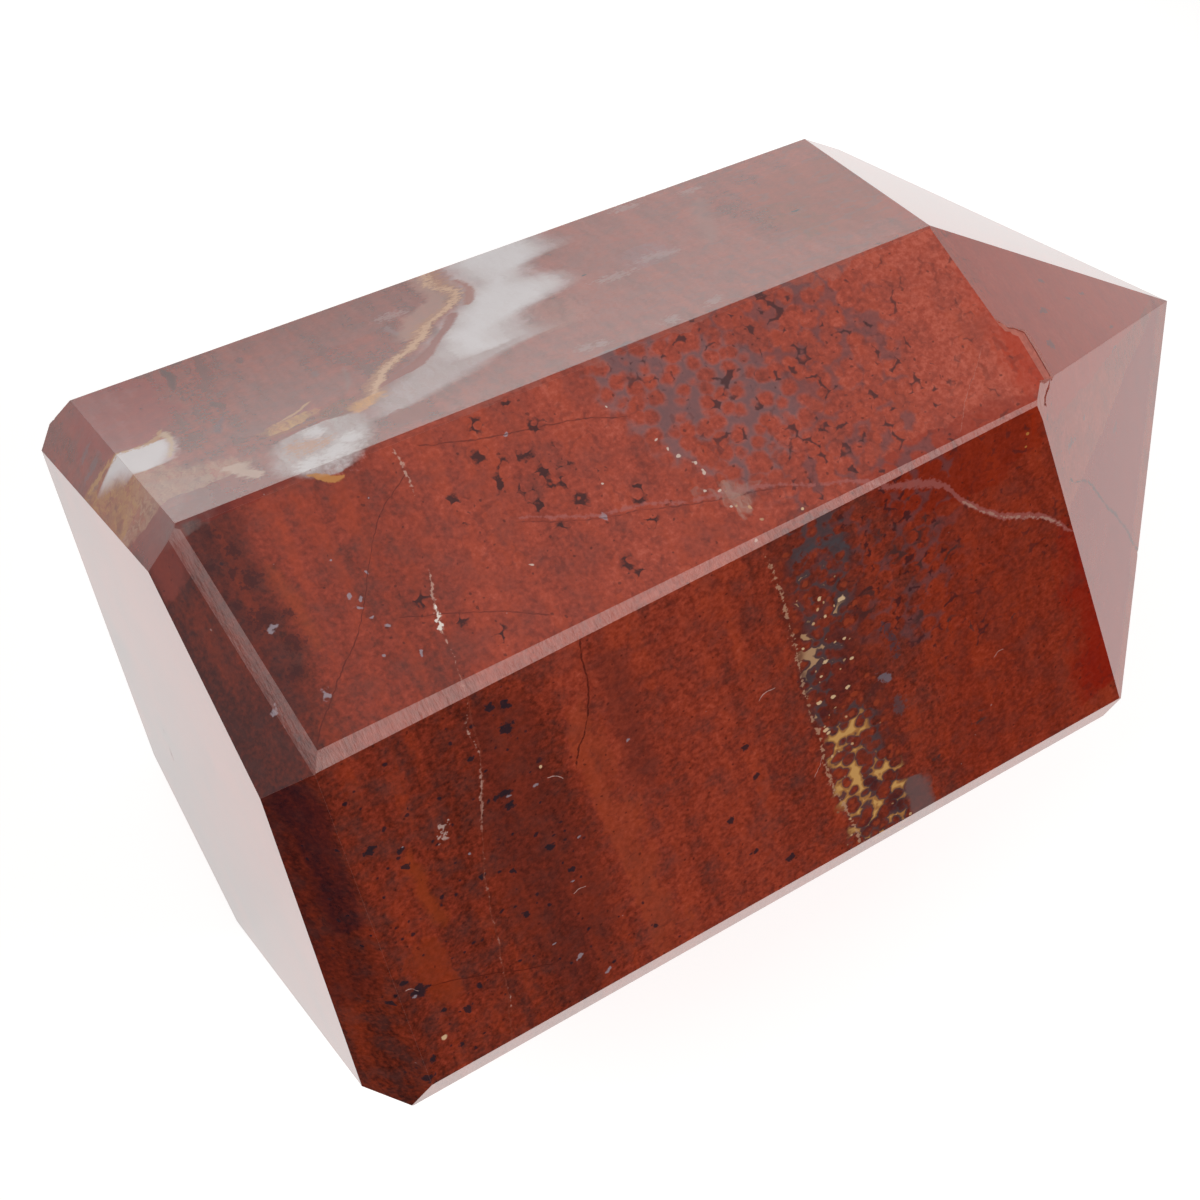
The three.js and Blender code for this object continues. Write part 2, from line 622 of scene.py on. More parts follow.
@dataclass(frozen=True)
class Spots:
    """Single spots of one mineral."""

    colour: str
    # Place along, girth and radius of each.
    centres: tuple[tuple[float, float, float], ...]
    strength: float = 1.0
    wander: Wander = Wander.UNEVEN
    # The width of the border and the raggedness, as shares of the radius.
    soft: float = 0.5
    ragged: float = 1.0

    def span(self) -> Span:
        """Gives the part of the stone that they lie in."""
        return Span.around([x for x, _, _ in self.centres], [girth for _, girth, _ in self.centres])

    def mask(self, stone: StoneMap) -> bpy.types.Node:
        """Adds the nodes that tell where the spots are.

        Args:
            stone: The map of the stone.

        Returns:
            The node whose value is 1 on a spot and 0 off them all.
        """
        graph = stone.graph
        _, _, place = stone.at(self.wander)
        nearest = None
        for along, girth, radius in self.centres:
            away = graph.node("VectorMath", {
                0: place,
                1: (along, girth * stone.mm_per_degree, 0.0),
            }, operation="DISTANCE")
            share = graph.node("Math", {0: away.outputs["Value"], 1: 1.0 / radius}, operation="MULTIPLY")
            if nearest is not None:
                share = graph.node("Math", {0: nearest, 1: share}, operation="MINIMUM")
            nearest = share
        inside = graph.node("Math", {0: 1.0, 1: nearest}, operation="SUBTRACT")
        return stone.cover(inside, stone.grain, self.ragged, self.soft)


@dataclass(frozen=True)
class Mottles:
    """Star-shaped spots between the round orbs of the stone, over an area of it."""

    colour: str
    # The distance between the middles of two orbs.
    orb: float
    # How far from the middle of an orb a spot starts, as a share of that distance.
    reach: float
    area: Patch | Spots
    strength: float = 1.0
    edge: float = 0.05
    # How much the spots grow and shrink from place to place.
    patchy: float = 0.35

    def span(self) -> Span:
        """Gives the part of the stone that they lie in."""
        return self.area.span()

    def mask(self, stone: StoneMap) -> bpy.types.Node:
        """Adds the nodes that tell where the mottles are.

        Args:
            stone: The map of the stone.

        Returns:
            The node whose value is 1 on a mottle and 0 off them.
        """
        graph = stone.graph
        distance, _, changing = stone.orbs(self.orb)
        level = graph.node("Math", {0: changing, 1: self.patchy, 2: distance}, operation="MULTIPLY_ADD")
        between = graph.node("MapRange", {
            "Value": level,
            "From Min": self.reach - self.edge,
            "From Max": self.reach + self.edge,
        }, interpolation_type="SMOOTHSTEP")
        return graph.node("Math", {0: between, 1: self.area.mask(stone)}, operation="MULTIPLY")


@dataclass(frozen=True)
class Specks:
    """Round grains scattered at random over an area, such as specks of hematite or of clear quartz."""

    colour: str
    # The distance between neighbours, and the radius of the largest.
    spacing: float
    radius: float
    # The share of the places that hold a grain.
    share: float
    area: Patch
    strength: float = 1.0
    # The smallest grain and the width of a grain's border, as shares of the largest radius.
    smallest: float = 0.4
    border: float = 0.35

    def span(self) -> Span:
        """Gives the part of the stone that they lie in."""
        return self.area.span()

    def mask(self, stone: StoneMap) -> bpy.types.Node:
        """Adds the nodes that tell where the grains are.

        Args:
            stone: The map of the stone.

        Returns:
            The node whose value is 1 on a grain and 0 off them.
        """
        graph = stone.graph
        distance, chance, _ = stone.orbs(self.spacing)
        held = graph.node("Math", {0: chance.outputs["X"], 1: self.share}, operation="LESS_THAN")
        largest = self.radius / self.spacing
        size = graph.node("Math", {
            0: chance.outputs["Y"],
            1: (1.0 - self.smallest) * largest,
            2: self.smallest * largest,
        }, operation="MULTIPLY_ADD")
        inside = graph.node("Math", {0: size, 1: distance}, operation="SUBTRACT")
        grain = graph.node("MapRange", {"Value": inside, "From Max": self.border * largest})
        here = graph.node("Math", {0: grain, 1: held}, operation="MULTIPLY")
        return graph.node("Math", {0: here, 1: self.area.mask(stone)}, operation="MULTIPLY")


# Any marking of the stone.
Mark = Vein | Patch | Spots | Mottles | Specks


def area(*rows: tuple[float, float, float], soft: float = 0.8, fray: float = 0.0) -> Patch:
    """Gives an area for mottles or specks: its rows are a patch's, and it has no colour of its own."""
    return Patch("", rows, soft=soft, fray=fray)


def star_areas(*centres: tuple[float, float, float]) -> Spots:
    """Gives a round area for each star: its centres are those of spots, and it has no colour."""
    return Spots("", centres, wander=Wander.STEADY, soft=0.9, ragged=1.2)


@dataclass(frozen=True)
class Side:
    """The red ground of one side of the stone, which its bedding makes lighter and darker along it."""

    name: str
    span: Span
    # The tone at places along the stone, from 0 for maroon to 1 for brick.
    tones: tuple[tuple[float, float], ...]
    streaks: float = 0.3
    clouds: float = 0.3
    speckle: float = 0.16
    # How much orange iron shows in the red, and how much dusty mauve.
    orange: float = 0.5
    mauve: float = 0.2
    # The side is dressed in zones with a material each, which has only the markings that reach into it.
    cuts: tuple[float, ...] = ()

    def zones(self) -> list[Span]:
        """Gives the zones of the side, from the base to the point."""
        ends = (self.span.along[0], *self.cuts, self.span.along[1])
        return [Span(pair, self.span.girths) for pair in zip(ends, ends[1:])]

    def zone(self, along: float) -> int:
        """Tells in which zone a place along the stone lies."""
        return sum(along > cut for cut in self.cuts)


class Polish(Enum):
    """How a flat was finished: its roughness, and how chalky its scratches make it."""

    # Polished on a soft lap: a clear mirror over a deep colour.
    GLOSSY = (0.07, 0.0)
    # Polished, then stood on: a softer gloss.
    WORN = (0.15, 0.0)
    # Touched up by hand over old scratches: glossy, but paler.
    RUBBED = (0.1, 0.5)
    # Only ground: dull, with pale lines across it.
    GROUND = (0.33, 0.32)
    # Rolled over on the lap: a satin gloss.
    BRUSHED = (0.3, 0.12)
    # A sharp edge that handling has worn, with a painted highlight: its thin pale line stands both for the
    # wear and for the light the edge catches.
    EDGE = (0.3, 0.7)
    # Where the stone has flaked: matt and a little dusty.
    BROKEN = (0.6, 0.25)


# Where the zones of the long sides meet.
ZONE_CUTS = (-45.5, -26.0, -5.0, 11.0)

TOP_SIDE = Side("top", Span((-60.0, 36.0), (-23.0, 12.0)), (
    (-58.0, 0.10), (-53.0, 0.18), (-48.5, 0.24), (-46.5, 0.44), (-43.0, 0.48), (-38.0, 0.44),
    (-33.0, 0.52), (-28.5, 0.62), (-20.0, 0.60), (-12.0, 0.68), (-6.0, 0.64), (2.0, 0.66), (10.0, 0.66),
    (20.0, 0.74), (26.0, 0.80), (33.0, 0.86), (60.0, 0.80),
), streaks=0.24, clouds=0.3, speckle=0.4, cuts=ZONE_CUTS)
# The front's tones are held darker than the top's: partly its own dark red-brown, and partly painted shade
# for the lesser light that falls on the front.
FRONT_SIDE = Side("front", Span((-62.0, 38.0), (-98.0, -21.0)), (
    (-60.0, 0.16), (-56.5, 0.14), (-53.5, 0.24), (-49.0, 0.36), (-46.0, 0.36), (-43.0, 0.32),
    (-37.0, 0.30), (-32.0, 0.33), (-28.0, 0.43), (-25.0, 0.58), (-21.0, 0.51), (-18.0, 0.49),
    (-13.0, 0.54), (-6.0, 0.46), (0.0, 0.40), (9.0, 0.38), (16.0, 0.40), (34.0, 0.42), (60.0, 0.60),
), streaks=0.32, clouds=0.34, speckle=0.48, orange=0.4, mauve=0.24, cuts=ZONE_CUTS)
BACK_SIDE = Side("back", Span((-62.0, 38.0), (9.0, 98.0)), (
    (-60.0, 0.44), (-56.0, 0.48), (-51.0, 0.58), (-46.0, 0.44), (-40.0, 0.44), (-25.0, 0.44),
    (-10.0, 0.52), (0.0, 0.56), (10.0, 0.62), (20.0, 0.60), (33.0, 0.60), (60.0, 0.60),
), streaks=0.55, clouds=0.34, speckle=0.24, mauve=0.36, cuts=ZONE_CUTS)
POINT_SIDE = Side("point", Span((31.0, 65.0), (-95.0, 95.0)), (
    (28.0, 0.74), (34.0, 0.72), (40.0, 0.66), (50.0, 0.62), (64.0, 0.60),
), streaks=0.24, clouds=0.34, speckle=0.24, orange=0.8, mauve=0.16)
UNDER_SIDE = Side("under", Span((-62.0, 65.0), (98.0, 262.0)), (
    (-60.0, 0.2), (-45.0, 0.44), (-20.0, 0.46), (0.0, 0.52), (20.0, 0.50), (60.0, 0.55),
), mauve=0.3)

BASE_SIDE = Side("base", Span((-65.0, -64.0), (-180.0, 180.0)), (
    (-64.0, 0.1), (-61.0, 0.3), (-58.5, 0.7),
), streaks=0.2, clouds=0.2)

# The side and the finish of each flat.
FINISHES: dict[Flat, tuple[Side, Polish]] = {
    flat: (side, polish)
    for side, polish, flats in (
        (BASE_SIDE, Polish.WORN, (Flat.BASE,)),
        (TOP_SIDE, Polish.GLOSSY, (Flat.TOP, Flat.TOP_CHAMFER, Flat.TOP_BACK)),
        (TOP_SIDE, Polish.BRUSHED, (Flat.ROLLED_EDGE,)),
        (TOP_SIDE, Polish.GROUND, (Flat.TOP_FRONT,)),
        (FRONT_SIDE, Polish.GLOSSY, (Flat.FRONT, Flat.FRONT_CHAMFER)),
        (FRONT_SIDE, Polish.RUBBED, (Flat.FRONT_EDGE,)),
        (BACK_SIDE, Polish.GLOSSY, (Flat.BACK, Flat.BACK_CHAMFER)),
        (BACK_SIDE, Polish.GROUND, (Flat.BACK_EDGE,)),
        (POINT_SIDE, Polish.GLOSSY, (Flat.POINT_TOP, Flat.POINT_FRONT, Flat.POINT_BACK)),
        (POINT_SIDE, Polish.GLOSSY, (Flat.POINT_UNDER, Flat.POINT_FRONT_UNDER, Flat.POINT_BACK_UNDER)),
        (POINT_SIDE, Polish.RUBBED, (Flat.DRESSED_CORNER,)),
        (UNDER_SIDE, Polish.GLOSSY, (Flat.FRONT_UNDER, Flat.UNDER, Flat.BACK_UNDER)),
        (UNDER_SIDE, Polish.GLOSSY, (Flat.UNDER_CHAMFER, Flat.FRONT_UNDER_CHAMFER, Flat.BACK_UNDER_CHAMFER)),
        (UNDER_SIDE, Polish.GROUND, (Flat.UNDER_FRONT_EDGE, Flat.UNDER_BACK_EDGE)),
    )
    for flat in flats
}

# The markings, from the deepest layer of colour to the topmost.
JASPER_MARKS: tuple[Mark, ...] = (
    # Dark maroon stone by the base.
    Patch("48191a", (
        (14.0, -60.0, -45.6), (9.0, -60.0, -46.4), (0.0, -60.0, -47.2), (-8.0, -60.0, -47.6),
        (-14.0, -60.0, -48.8), (-19.0, -60.0, -50.6), (-30.0, -60.0, -53.4), (-46.0, -60.0, -54.2),
        (-60.0, -60.0, -56.0), (-70.0, -60.0, -60.0),
    ), strength=0.42, soft=3.4, fray=4.5, veil=0.3),
    # Dusty pink and brown clouds over the back.
    Patch("a86256", (
        (11.0, -24.0, 30.0), (24.0, -14.0, 26.0), (32.0, -9.0, 20.0), (44.0, -4.0, 18.0), (60.0, -4.0, 18.0),
        (74.0, 0.0, 19.0), (86.0, 0.0, 21.0), (110.0, 0.0, 0.0),
    ), strength=0.5, wander=Wander.RAGGED, soft=7.0, fray=5.0, veil=0.6),
    Patch("9c5a50", (
        (28.0, -42.0, -42.0), (32.0, -43.0, -31.0), (44.0, -41.5, -30.0), (55.0, -40.0, -31.5),
        (66.0, -40.0, -18.0), (82.0, -40.0, -15.0), (100.0, -30.0, -30.0),
    ), strength=0.5, wander=Wander.RAGGED, soft=5.0, fray=4.0, veil=0.6),
    # Rust-red stone at the far end of the back, and by its base.
    Patch("a23a10", (
        (14.0, 24.0, 24.0), (22.0, 22.0, 34.0), (40.0, 21.0, 34.0), (56.0, 22.0, 34.0), (70.0, 24.0, 34.0),
        (80.0, 26.0, 26.0),
    ), strength=0.5, wander=Wander.RAGGED, soft=4.0, fray=4.0),
    Patch("98180a", (
        (42.0, -52.0, -52.0), (50.0, -55.0, -47.0), (62.0, -56.0, -46.5), (80.0, -56.0, -47.5),
        (100.0, -52.0, -52.0),
    ), strength=0.6, wander=Wander.RAGGED, soft=3.0, fray=4.0),
    Patch("992a0a", (
        (-22.0, 16.0, 36.0), (-30.0, 12.0, 38.0), (-50.0, 14.0, 40.0), (-98.0, 12.0, 50.0),
    ), strength=0.26, soft=6.0, fray=5.0),
    Patch("8a1f06", (
        (-20.5, 10.0, 31.0), (-26.0, 12.0, 31.0), (-30.0, 20.0, 26.0),
    ), strength=0.4, soft=3.0, fray=4.0),
    Patch("2a1620", (
        (-22.0, -56.4, -53.0), (-34.0, -56.2, -52.6), (-46.0, -56.0, -53.6),
    ), strength=0.6, soft=1.2, fray=1.6, veil=0.4),
    # Rust-red and dark red on the point.
    Patch("b02a04", (
        (30.0, 32.0, 60.0), (10.0, 31.0, 66.0), (-10.0, 31.0, 66.0), (-26.0, 32.0, 60.0),
    ), strength=0.65, soft=4.0, fray=4.0, veil=0.3),
    Patch("8e0a02", (
        (-46.0, 31.0, 62.0), (-60.0, 31.0, 64.0), (-90.0, 31.0, 64.0),
    ), strength=0.6, wander=Wander.RAGGED, soft=5.0, fray=5.0),
    Patch("9b6560", (
        (20.0, -58.0, -56.0), (30.0, -62.0, -54.0), (60.0, -62.0, -52.0), (90.0, -62.0, -50.0),
    ), strength=0.36, wander=Wander.RAGGED, soft=3.0, fray=4.0, veil=0.5),
    Spots("6d6468", (
        (-57.4, 47.0, 0.9), (-57.0, 53.0, 1.0), (-56.0, 60.0, 0.9), (-55.2, 42.0, 0.8),
    ), strength=0.5, ragged=2.0, soft=1.4),
    # Clear grey stone where the base chamfer meets the back, and dusty stone beside it.
    Patch("8d817e", (
        (26.0, -52.4, -51.4), (21.0, -53.6, -48.4), (14.0, -55.6, -48.0), (9.6, -54.6, -50.4),
    ), strength=0.42, soft=2.2, fray=1.6, veil=0.4),
    Patch("8a3d34", (
        (20.0, -55.0, -55.0), (17.0, -57.0, -53.4), (9.0, -57.4, -53.0), (5.0, -57.0, -54.0),
    ), strength=0.6, soft=1.6, fray=1.4),
    # Dark red, olive and mauve parts of the back.
    Patch("7c1c10", (
        (10.5, -53.0, -41.0), (14.0, -52.0, -41.6), (17.5, -50.0, -44.0),
    ), strength=0.5, soft=2.4, fray=2.6),
    Patch("5c4020", (
        (24.0, 20.6, 24.8), (38.0, 20.0, 25.4), (52.0, 20.6, 25.0),
    ), strength=0.4, wander=Wander.RAGGED, soft=2.0, fray=4.0, veil=0.9),
    Patch("8e6a74", (
        (41.0, 5.0, 8.6), (48.0, 4.6, 9.4), (56.0, 5.4, 8.6),
    ), strength=0.5, soft=2.4, fray=2.4, veil=0.6),
    Patch("b3705e", (
        (26.0, -9.4, -5.4), (34.0, -9.4, -3.6), (42.0, -8.0, -4.0),
    ), strength=0.45, soft=3.0, fray=2.4, veil=0.5),
    # Orange flames and maroon bands on the front.
    Patch("5f2a24", (
        (-19.0, -35.0, -35.0), (-25.0, -37.0, -31.0), (-45.0, -38.0, -29.0), (-75.0, -37.5, -30.0),
        (-96.0, -36.0, -36.0),
    ), strength=0.4, soft=3.5, fray=5.0),
    Patch("6b3028", (
        (-20.0, -21.0, -21.0), (-26.0, -22.6, -19.8), (-45.0, -22.4, -19.6), (-60.0, -21.0, -21.0),
    ), strength=0.45, soft=1.6, fray=2.5),
    Vein("a34320", (
        (-46.2, -34.0, 0.0), (-46.4, -40.0, 1.4), (-46.0, -50.0, 1.6), (-46.6, -56.0, 0.0),
    ), strength=0.6, wander=Wander.UNEVEN, soft=1.2),
    Patch("9c3b1a", (
        (-50.0, -48.0, -48.0), (-56.0, -50.6, -46.8), (-65.0, -50.4, -46.8), (-72.0, -49.0, -49.0),
    ), strength=0.5, soft=2.0, fray=3.0),
    Patch("a3472c", (
        (-24.0, -24.0, -24.0), (-32.0, -26.4, -23.6), (-50.0, -26.4, -23.4), (-75.0, -26.0, -22.8),
        (-96.0, -26.0, -22.8),
    ), strength=0.4, soft=1.6, fray=3.0),
    # An orange streak on the top.
    Vein("b04a20", (
        (-46.6, 6.0, 0.0), (-46.7, 0.0, 1.2), (-46.4, -4.0, 1.5), (-46.2, -8.0, 1.2), (-46.6, -13.0, 0.0),
    ), strength=0.35, wander=Wander.UNEVEN, soft=1.6),
    # The tan cloud by the base, and its tail.
    Patch("b98a6c", (
        (34.0, -53.0, -51.0), (32.0, -53.9, -49.9), (28.0, -54.6, -48.4), (25.0, -57.0, -46.4),
        (22.0, -58.2, -44.6), (19.5, -58.2, -44.0), (18.2, -57.2, -45.2), (17.2, -56.4, -52.6),
        (16.0, -55.0, -55.0),
    ), strength=0.8, soft=2.4, fray=2.0, veil=0.75),
    Vein("c8a48f", (
        (-46.4, 23.0, 0.0), (-45.2, 20.0, 2.0), (-44.3, 17.0, 1.5), (-43.6, 15.0, 1.7), (-43.1, 13.0, 0.0),
    ), strength=0.8, wander=Wander.UNEVEN, soft=0.8),
    # The ochre fan on the chamfer.
    Patch("b98044", (
        (49.0, -59.4, -58.0), (46.0, -59.6, -56.4), (42.0, -59.4, -55.8), (38.0, -59.2, -54.8),
        (34.0, -59.0, -54.2), (30.0, -58.8, -53.8), (26.0, -58.6, -53.6), (23.0, -58.4, -54.4),
        (21.0, -57.0, -57.0),
    ), strength=0.85, soft=2.0, fray=2.4, veil=0.8),
    # The white eye under its gold rim.
    Patch("e3dbdc", (
        (45.5, -55.2, -55.2), (43.0, -56.7, -48.8), (40.0, -55.8, -48.5), (37.0, -54.9, -48.9),
        (34.0, -54.3, -49.6), (32.3, -53.8, -50.2), (30.5, -52.4, -52.4),
    ), soft=3.0, fray=1.2, strength=0.95, wander=Wander.STEADY),
    Vein("c08a50", (
        (-60.4, 49.0, 0.0), (-57.6, 47.6, 1.2), (-56.0, 46.4, 1.5), (-54.4, 44.6, 0.9), (-52.6, 43.9, 0.7),
        (-50.6, 44.6, 1.2), (-49.2, 46.6, 1.6), (-48.3, 48.4, 0.6), (-47.4, 50.0, 0.0),
    ), run=Run.ALONG, wander=Wander.UNEVEN, strength=0.8, soft=1.0, ragged=1.4),
    Vein("d2b08c", (
        (-48.2, 48.5, 0.0), (-48.6, 45.5, 1.0), (-48.5, 41.0, 0.6), (-49.5, 34.5, 0.5), (-50.4, 31.0, 0.0),
    ), strength=0.8, soft=0.6),
    # The grey-white patch by the top edge, with its orange tint.
    Patch("bbaaa8", (
        (25.4, -34.0, -34.0), (24.0, -36.8, -32.4), (23.0, -39.2, -31.2), (20.5, -40.6, -30.6),
        (17.5, -41.0, -30.4), (14.5, -41.2, -30.9), (12.0, -41.1, -32.2), (10.6, -39.8, -33.2),
        (9.2, -38.0, -34.8), (8.4, -36.5, -36.5),
    ), soft=2.2, wander=Wander.STEADY, fray=1.4, veil=0.35),
    Spots("c47a48", (
        (-37.6, 18.2, 1.9), (-39.2, 18.8, 1.0), (-35.6, 17.6, 0.9),
    ), strength=0.6, soft=1.6, ragged=1.8),
    Spots("dfd8d9", (
        (-35.2, 12.6, 1.7), (-38.0, 12.8, 1.4), (-33.2, 15.0, 1.4), (-36.0, 22.0, 1.2),
    ), strength=0.75, soft=1.4),
    Vein("c98a4a", (
        (-40.0, 10.6, 0.0), (-38.8, 9.8, 0.5), (-37.4, 8.6, 0.9), (-36.4, 8.2, 0.4), (-35.4, 8.8, 0.0),
    ), run=Run.ALONG, strength=0.8),
    # The large white cloud and its mauve tail.
    Patch("b9a2a0", (
        (126.0, -15.4, -15.4), (112.0, -13.6, -5.0), (100.0, -12.0, -1.6), (84.0, -10.2, 0.3),
        (76.0, -10.3, 1.2), (73.5, -10.4, 1.0), (72.0, -10.4, -1.5), (69.5, -10.5, -3.9),
        (64.0, -11.0, -4.4), (58.0, -12.6, -2.8), (52.5, -15.0, -2.4), (46.0, -17.6, -3.8),
        (42.0, -19.2, -8.0), (36.0, -21.2, -9.6), (31.0, -24.2, -9.0), (28.0, -26.4, -8.6),
        (26.0, -27.6, -12.6), (24.0, -28.4, -16.4), (21.5, -29.4, -18.8), (19.5, -29.8, -22.6),
        (17.8, -29.4, -26.0), (16.2, -28.6, -28.6),
    ), soft=5.5, fray=1.4, wander=Wander.STEADY, veil=0.2),
    Patch("e4dcdd", (
        (124.0, -14.4, -14.4), (112.0, -12.6, -6.6), (100.0, -11.5, -3.0), (84.0, -9.8, -0.6),
        (76.0, -9.9, 0.2), (73.5, -10.0, -1.0), (69.5, -10.0, -5.0), (64.0, -10.6, -5.2),
        (58.0, -12.2, -3.6), (52.5, -14.2, -3.4), (46.0, -16.2, -5.2), (42.0, -17.4, -9.4),
        (34.0, -18.0, -12.0), (29.0, -16.0, -12.6), (26.0, -14.0, -14.0),
    ), strength=0.95, soft=6.5, fray=1.6, veil=0.1),
    # The gold band along the cloud, and the red lenses between them.
    Patch("b98a78", (
        (46.0, -21.6, -21.6), (50.0, -21.6, -19.6), (54.0, -21.0, -17.8), (58.0, -19.6, -15.4),
        (63.0, -18.6, -13.6), (70.0, -15.6, -13.0), (78.0, -15.0, -12.8), (90.0, -15.4, -13.4),
    ), strength=0.65, soft=2.0, fray=1.6),
    Vein("b47446", (
        (-30.2, 21.0, 0.0), (-29.4, 24.0, 3.0), (-28.3, 28.0, 2.8), (-26.9, 33.0, 2.6), (-24.6, 38.5, 2.8),
        (-21.8, 43.5, 2.4), (-19.5, 48.5, 2.3), (-17.9, 53.5, 2.3), (-16.3, 57.5, 2.5), (-14.4, 60.0, 2.1),
        (-13.3, 64.0, 1.6), (-12.8, 69.0, 1.4), (-12.4, 74.0, 1.3), (-12.8, 79.0, 1.3), (-12.6, 86.0, 1.3),
        (-14.0, 110.0, 1.3), (-16.0, 126.0, 0.0),
    ), strength=0.75, soft=1.4, ragged=1.2, wander=Wander.UNEVEN),
    Vein("e2b288", (
        (-29.2, 24.0, 0.0), (-28.0, 28.5, 0.8), (-26.5, 33.0, 1.2), (-24.3, 38.5, 1.4), (-21.6, 43.5, 1.3),
        (-19.3, 48.5, 1.2), (-17.7, 53.5, 1.0), (-16.0, 57.5, 1.1), (-14.2, 60.0, 1.1), (-13.1, 64.0, 0.8),
        (-12.6, 69.0, 0.7), (-13.2, 76.0, 0.6), (-13.6, 86.0, 0.6), (-15.0, 110.0, 0.0),
    ), strength=0.75, soft=1.0, ragged=1.4, wander=Wander.UNEVEN),
    Vein("94341c", (
        (-27.6, 28.6, 0.0), (-26.2, 30.4, 1.6), (-23.7, 32.4, 3.4), (-21.6, 35.2, 2.4), (-19.8, 39.5, 1.6),
        (-17.8, 44.5, 1.4), (-15.9, 49.5, 1.3), (-14.6, 54.5, 1.4), (-14.3, 57.4, 0.0),
    ), strength=0.9, soft=0.7),
    Vein("a04a2c", (
        (-12.6, 56.2, 0.0), (-12.0, 59.0, 1.3), (-11.2, 64.0, 1.2), (-10.7, 69.0, 0.8), (-10.9, 74.0, 0.7),
        (-11.2, 77.5, 0.0),
    ), strength=0.85, soft=0.7),
    # Gold and olive between the patch and the band.
    Patch("cf9850", (
        (32.6, -36.4, -36.4), (31.0, -38.8, -35.4), (28.5, -39.9, -35.0), (26.8, -39.8, -35.8),
        (25.6, -38.0, -38.0),
    ), soft=1.4, strength=0.85, fray=2.4, veil=0.7),
    Vein("d0a070", (
        (-38.9, 30.6, 0.0), (-37.4, 31.6, 0.6), (-35.9, 32.8, 0.7), (-34.6, 34.6, 0.6), (-33.2, 36.4, 0.0),
    ), run=Run.ALONG, strength=0.8, soft=0.5),
    Vein("9c4a1a", (
        (-41.4, 25.2, 0.0), (-39.4, 26.0, 0.7), (-37.0, 25.6, 0.9), (-34.6, 25.8, 0.7), (-33.0, 25.4, 0.0),
    ), run=Run.ALONG, strength=0.8, soft=0.5),
    Patch("6f3d12", (
        (31.0, -31.0, -31.0), (30.0, -32.8, -30.2), (28.0, -33.8, -30.1), (26.0, -34.0, -30.4),
        (24.0, -32.6, -30.6), (22.6, -31.0, -31.0),
    ), soft=1.2, strength=0.8, fray=1.4, veil=0.8),
    Patch("e09a44", (
        (29.4, -28.4, -28.4), (27.5, -29.6, -27.4), (25.0, -30.6, -27.4), (23.0, -30.8, -28.6),
        (21.2, -29.8, -29.8),
    ), soft=1.6, strength=0.85, fray=2.4, veil=0.7),
    Patch("8c2f18", (
        (18.4, -27.0, -27.0), (16.6, -29.0, -25.6), (14.6, -28.6, -24.9), (12.8, -27.0, -25.2),
        (11.2, -26.0, -26.0),
    ), soft=0.9, strength=0.75, fray=1.0),
    # Blue-grey streaks and pale spots in the dusty part.
    *(Vein(colour, path, strength, soft=0.6) for colour, strength, path in (
        ("3c1715", 0.8, ((-44.6, 84.0, 0.0), (-44.4, 76.0, 0.9), (-44.6, 70.0, 0.7), (-44.8, 63.0, 0.0))),
        ("4a1f1c", 0.7, ((-42.6, 55.0, 0.0), (-42.2, 52.0, 0.8), (-41.8, 49.0, 0.7), (-41.9, 45.0, 0.0))),
        ("6a4650", 0.6, ((-42.0, 47.0, 0.0), (-42.8, 42.0, 0.7), (-43.6, 38.0, 0.8), (-43.7, 33.0, 0.0))),
        ("5a2a2a", 0.6, ((-36.4, 75.0, 0.0), (-36.6, 71.0, 0.9), (-36.4, 67.0, 0.0))),
        ("5c2f30", 0.6, ((-41.0, 75.0, 0.0), (-41.3, 70.0, 0.7), (-41.2, 63.0, 0.0))),
        ("7d5550", 0.6, ((-31.4, 53.0, 0.0), (-31.2, 49.0, 0.8), (-31.6, 44.0, 0.0))),
        ("8b5c52", 0.6, ((-28.0, 51.0, 0.0), (-28.6, 44.0, 0.5), (-29.6, 36.0, 0.5), (-30.6, 30.0, 0.0))),
        ("8d6a6a", 0.7, ((-20.9, 64.0, 0.0), (-21.3, 60.0, 0.8), (-21.0, 55.0, 0.6), (-21.3, 51.0, 0.0))),
    )),
    Vein("9a6a60", (
        (18.6, 78.0, 0.0), (17.8, 72.0, 1.8), (16.2, 62.0, 2.0), (15.0, 53.0, 1.8), (13.6, 43.0, 1.2),
        (12.8, 37.0, 0.0),
    ), strength=0.5, soft=1.6),
    Spots("ae8b87", (
        (-20.0, 67.0, 1.4), (2.2, 42.6, 1.7), (7.5, 46.5, 1.6), (8.6, 44.6, 1.2), (11.0, 83.0, 1.2),
        (18.5, 80.5, 1.0), (-8.0, 15.0, 1.0), (-6.0, 14.0, 0.8), (2.0, 13.0, 0.9), (7.0, 14.0, 0.9),
    ), strength=0.6, soft=1.2, ragged=2.0),
    Spots("1c1012", ((-0.25, 50.7, 0.32), (23.6, 42.6, 0.3))),
    Mottles("7a5552", 1.6, 0.72, area(
        (10.0, 0.0, 34.0), (30.0, 4.0, 34.0), (60.0, 10.0, 34.0), (96.0, 14.0, 34.0), soft=8.0,
    ), strength=0.35, edge=0.1),
    # Slate mottles over the top and the front, with dark stars among them.
    Mottles("8c7476", 1.6, 0.58, area(
        (10.0, -9.0, -3.0), (6.0, -9.4, 5.0), (0.0, -8.0, 8.0), (-8.0, -5.4, 9.0), (-14.0, -2.8, 3.0),
        (-18.0, -1.0, -1.0), soft=3.0, fray=2.0,
    ), strength=0.5, edge=0.22),
    Mottles("62474b", 1.6, 0.66, area(
        (10.0, -9.0, 22.0), (0.0, -7.0, 22.0), (-12.0, -3.0, 21.0), (-20.0, 2.0, 20.0), (-34.0, 1.0, 19.0),
        (-50.0, 9.0, 16.0), (-60.0, 12.0, 12.0), soft=4.0, fray=3.0,
    ), strength=0.55, edge=0.14),
    Mottles("3c2227", 1.0, 0.83, area(
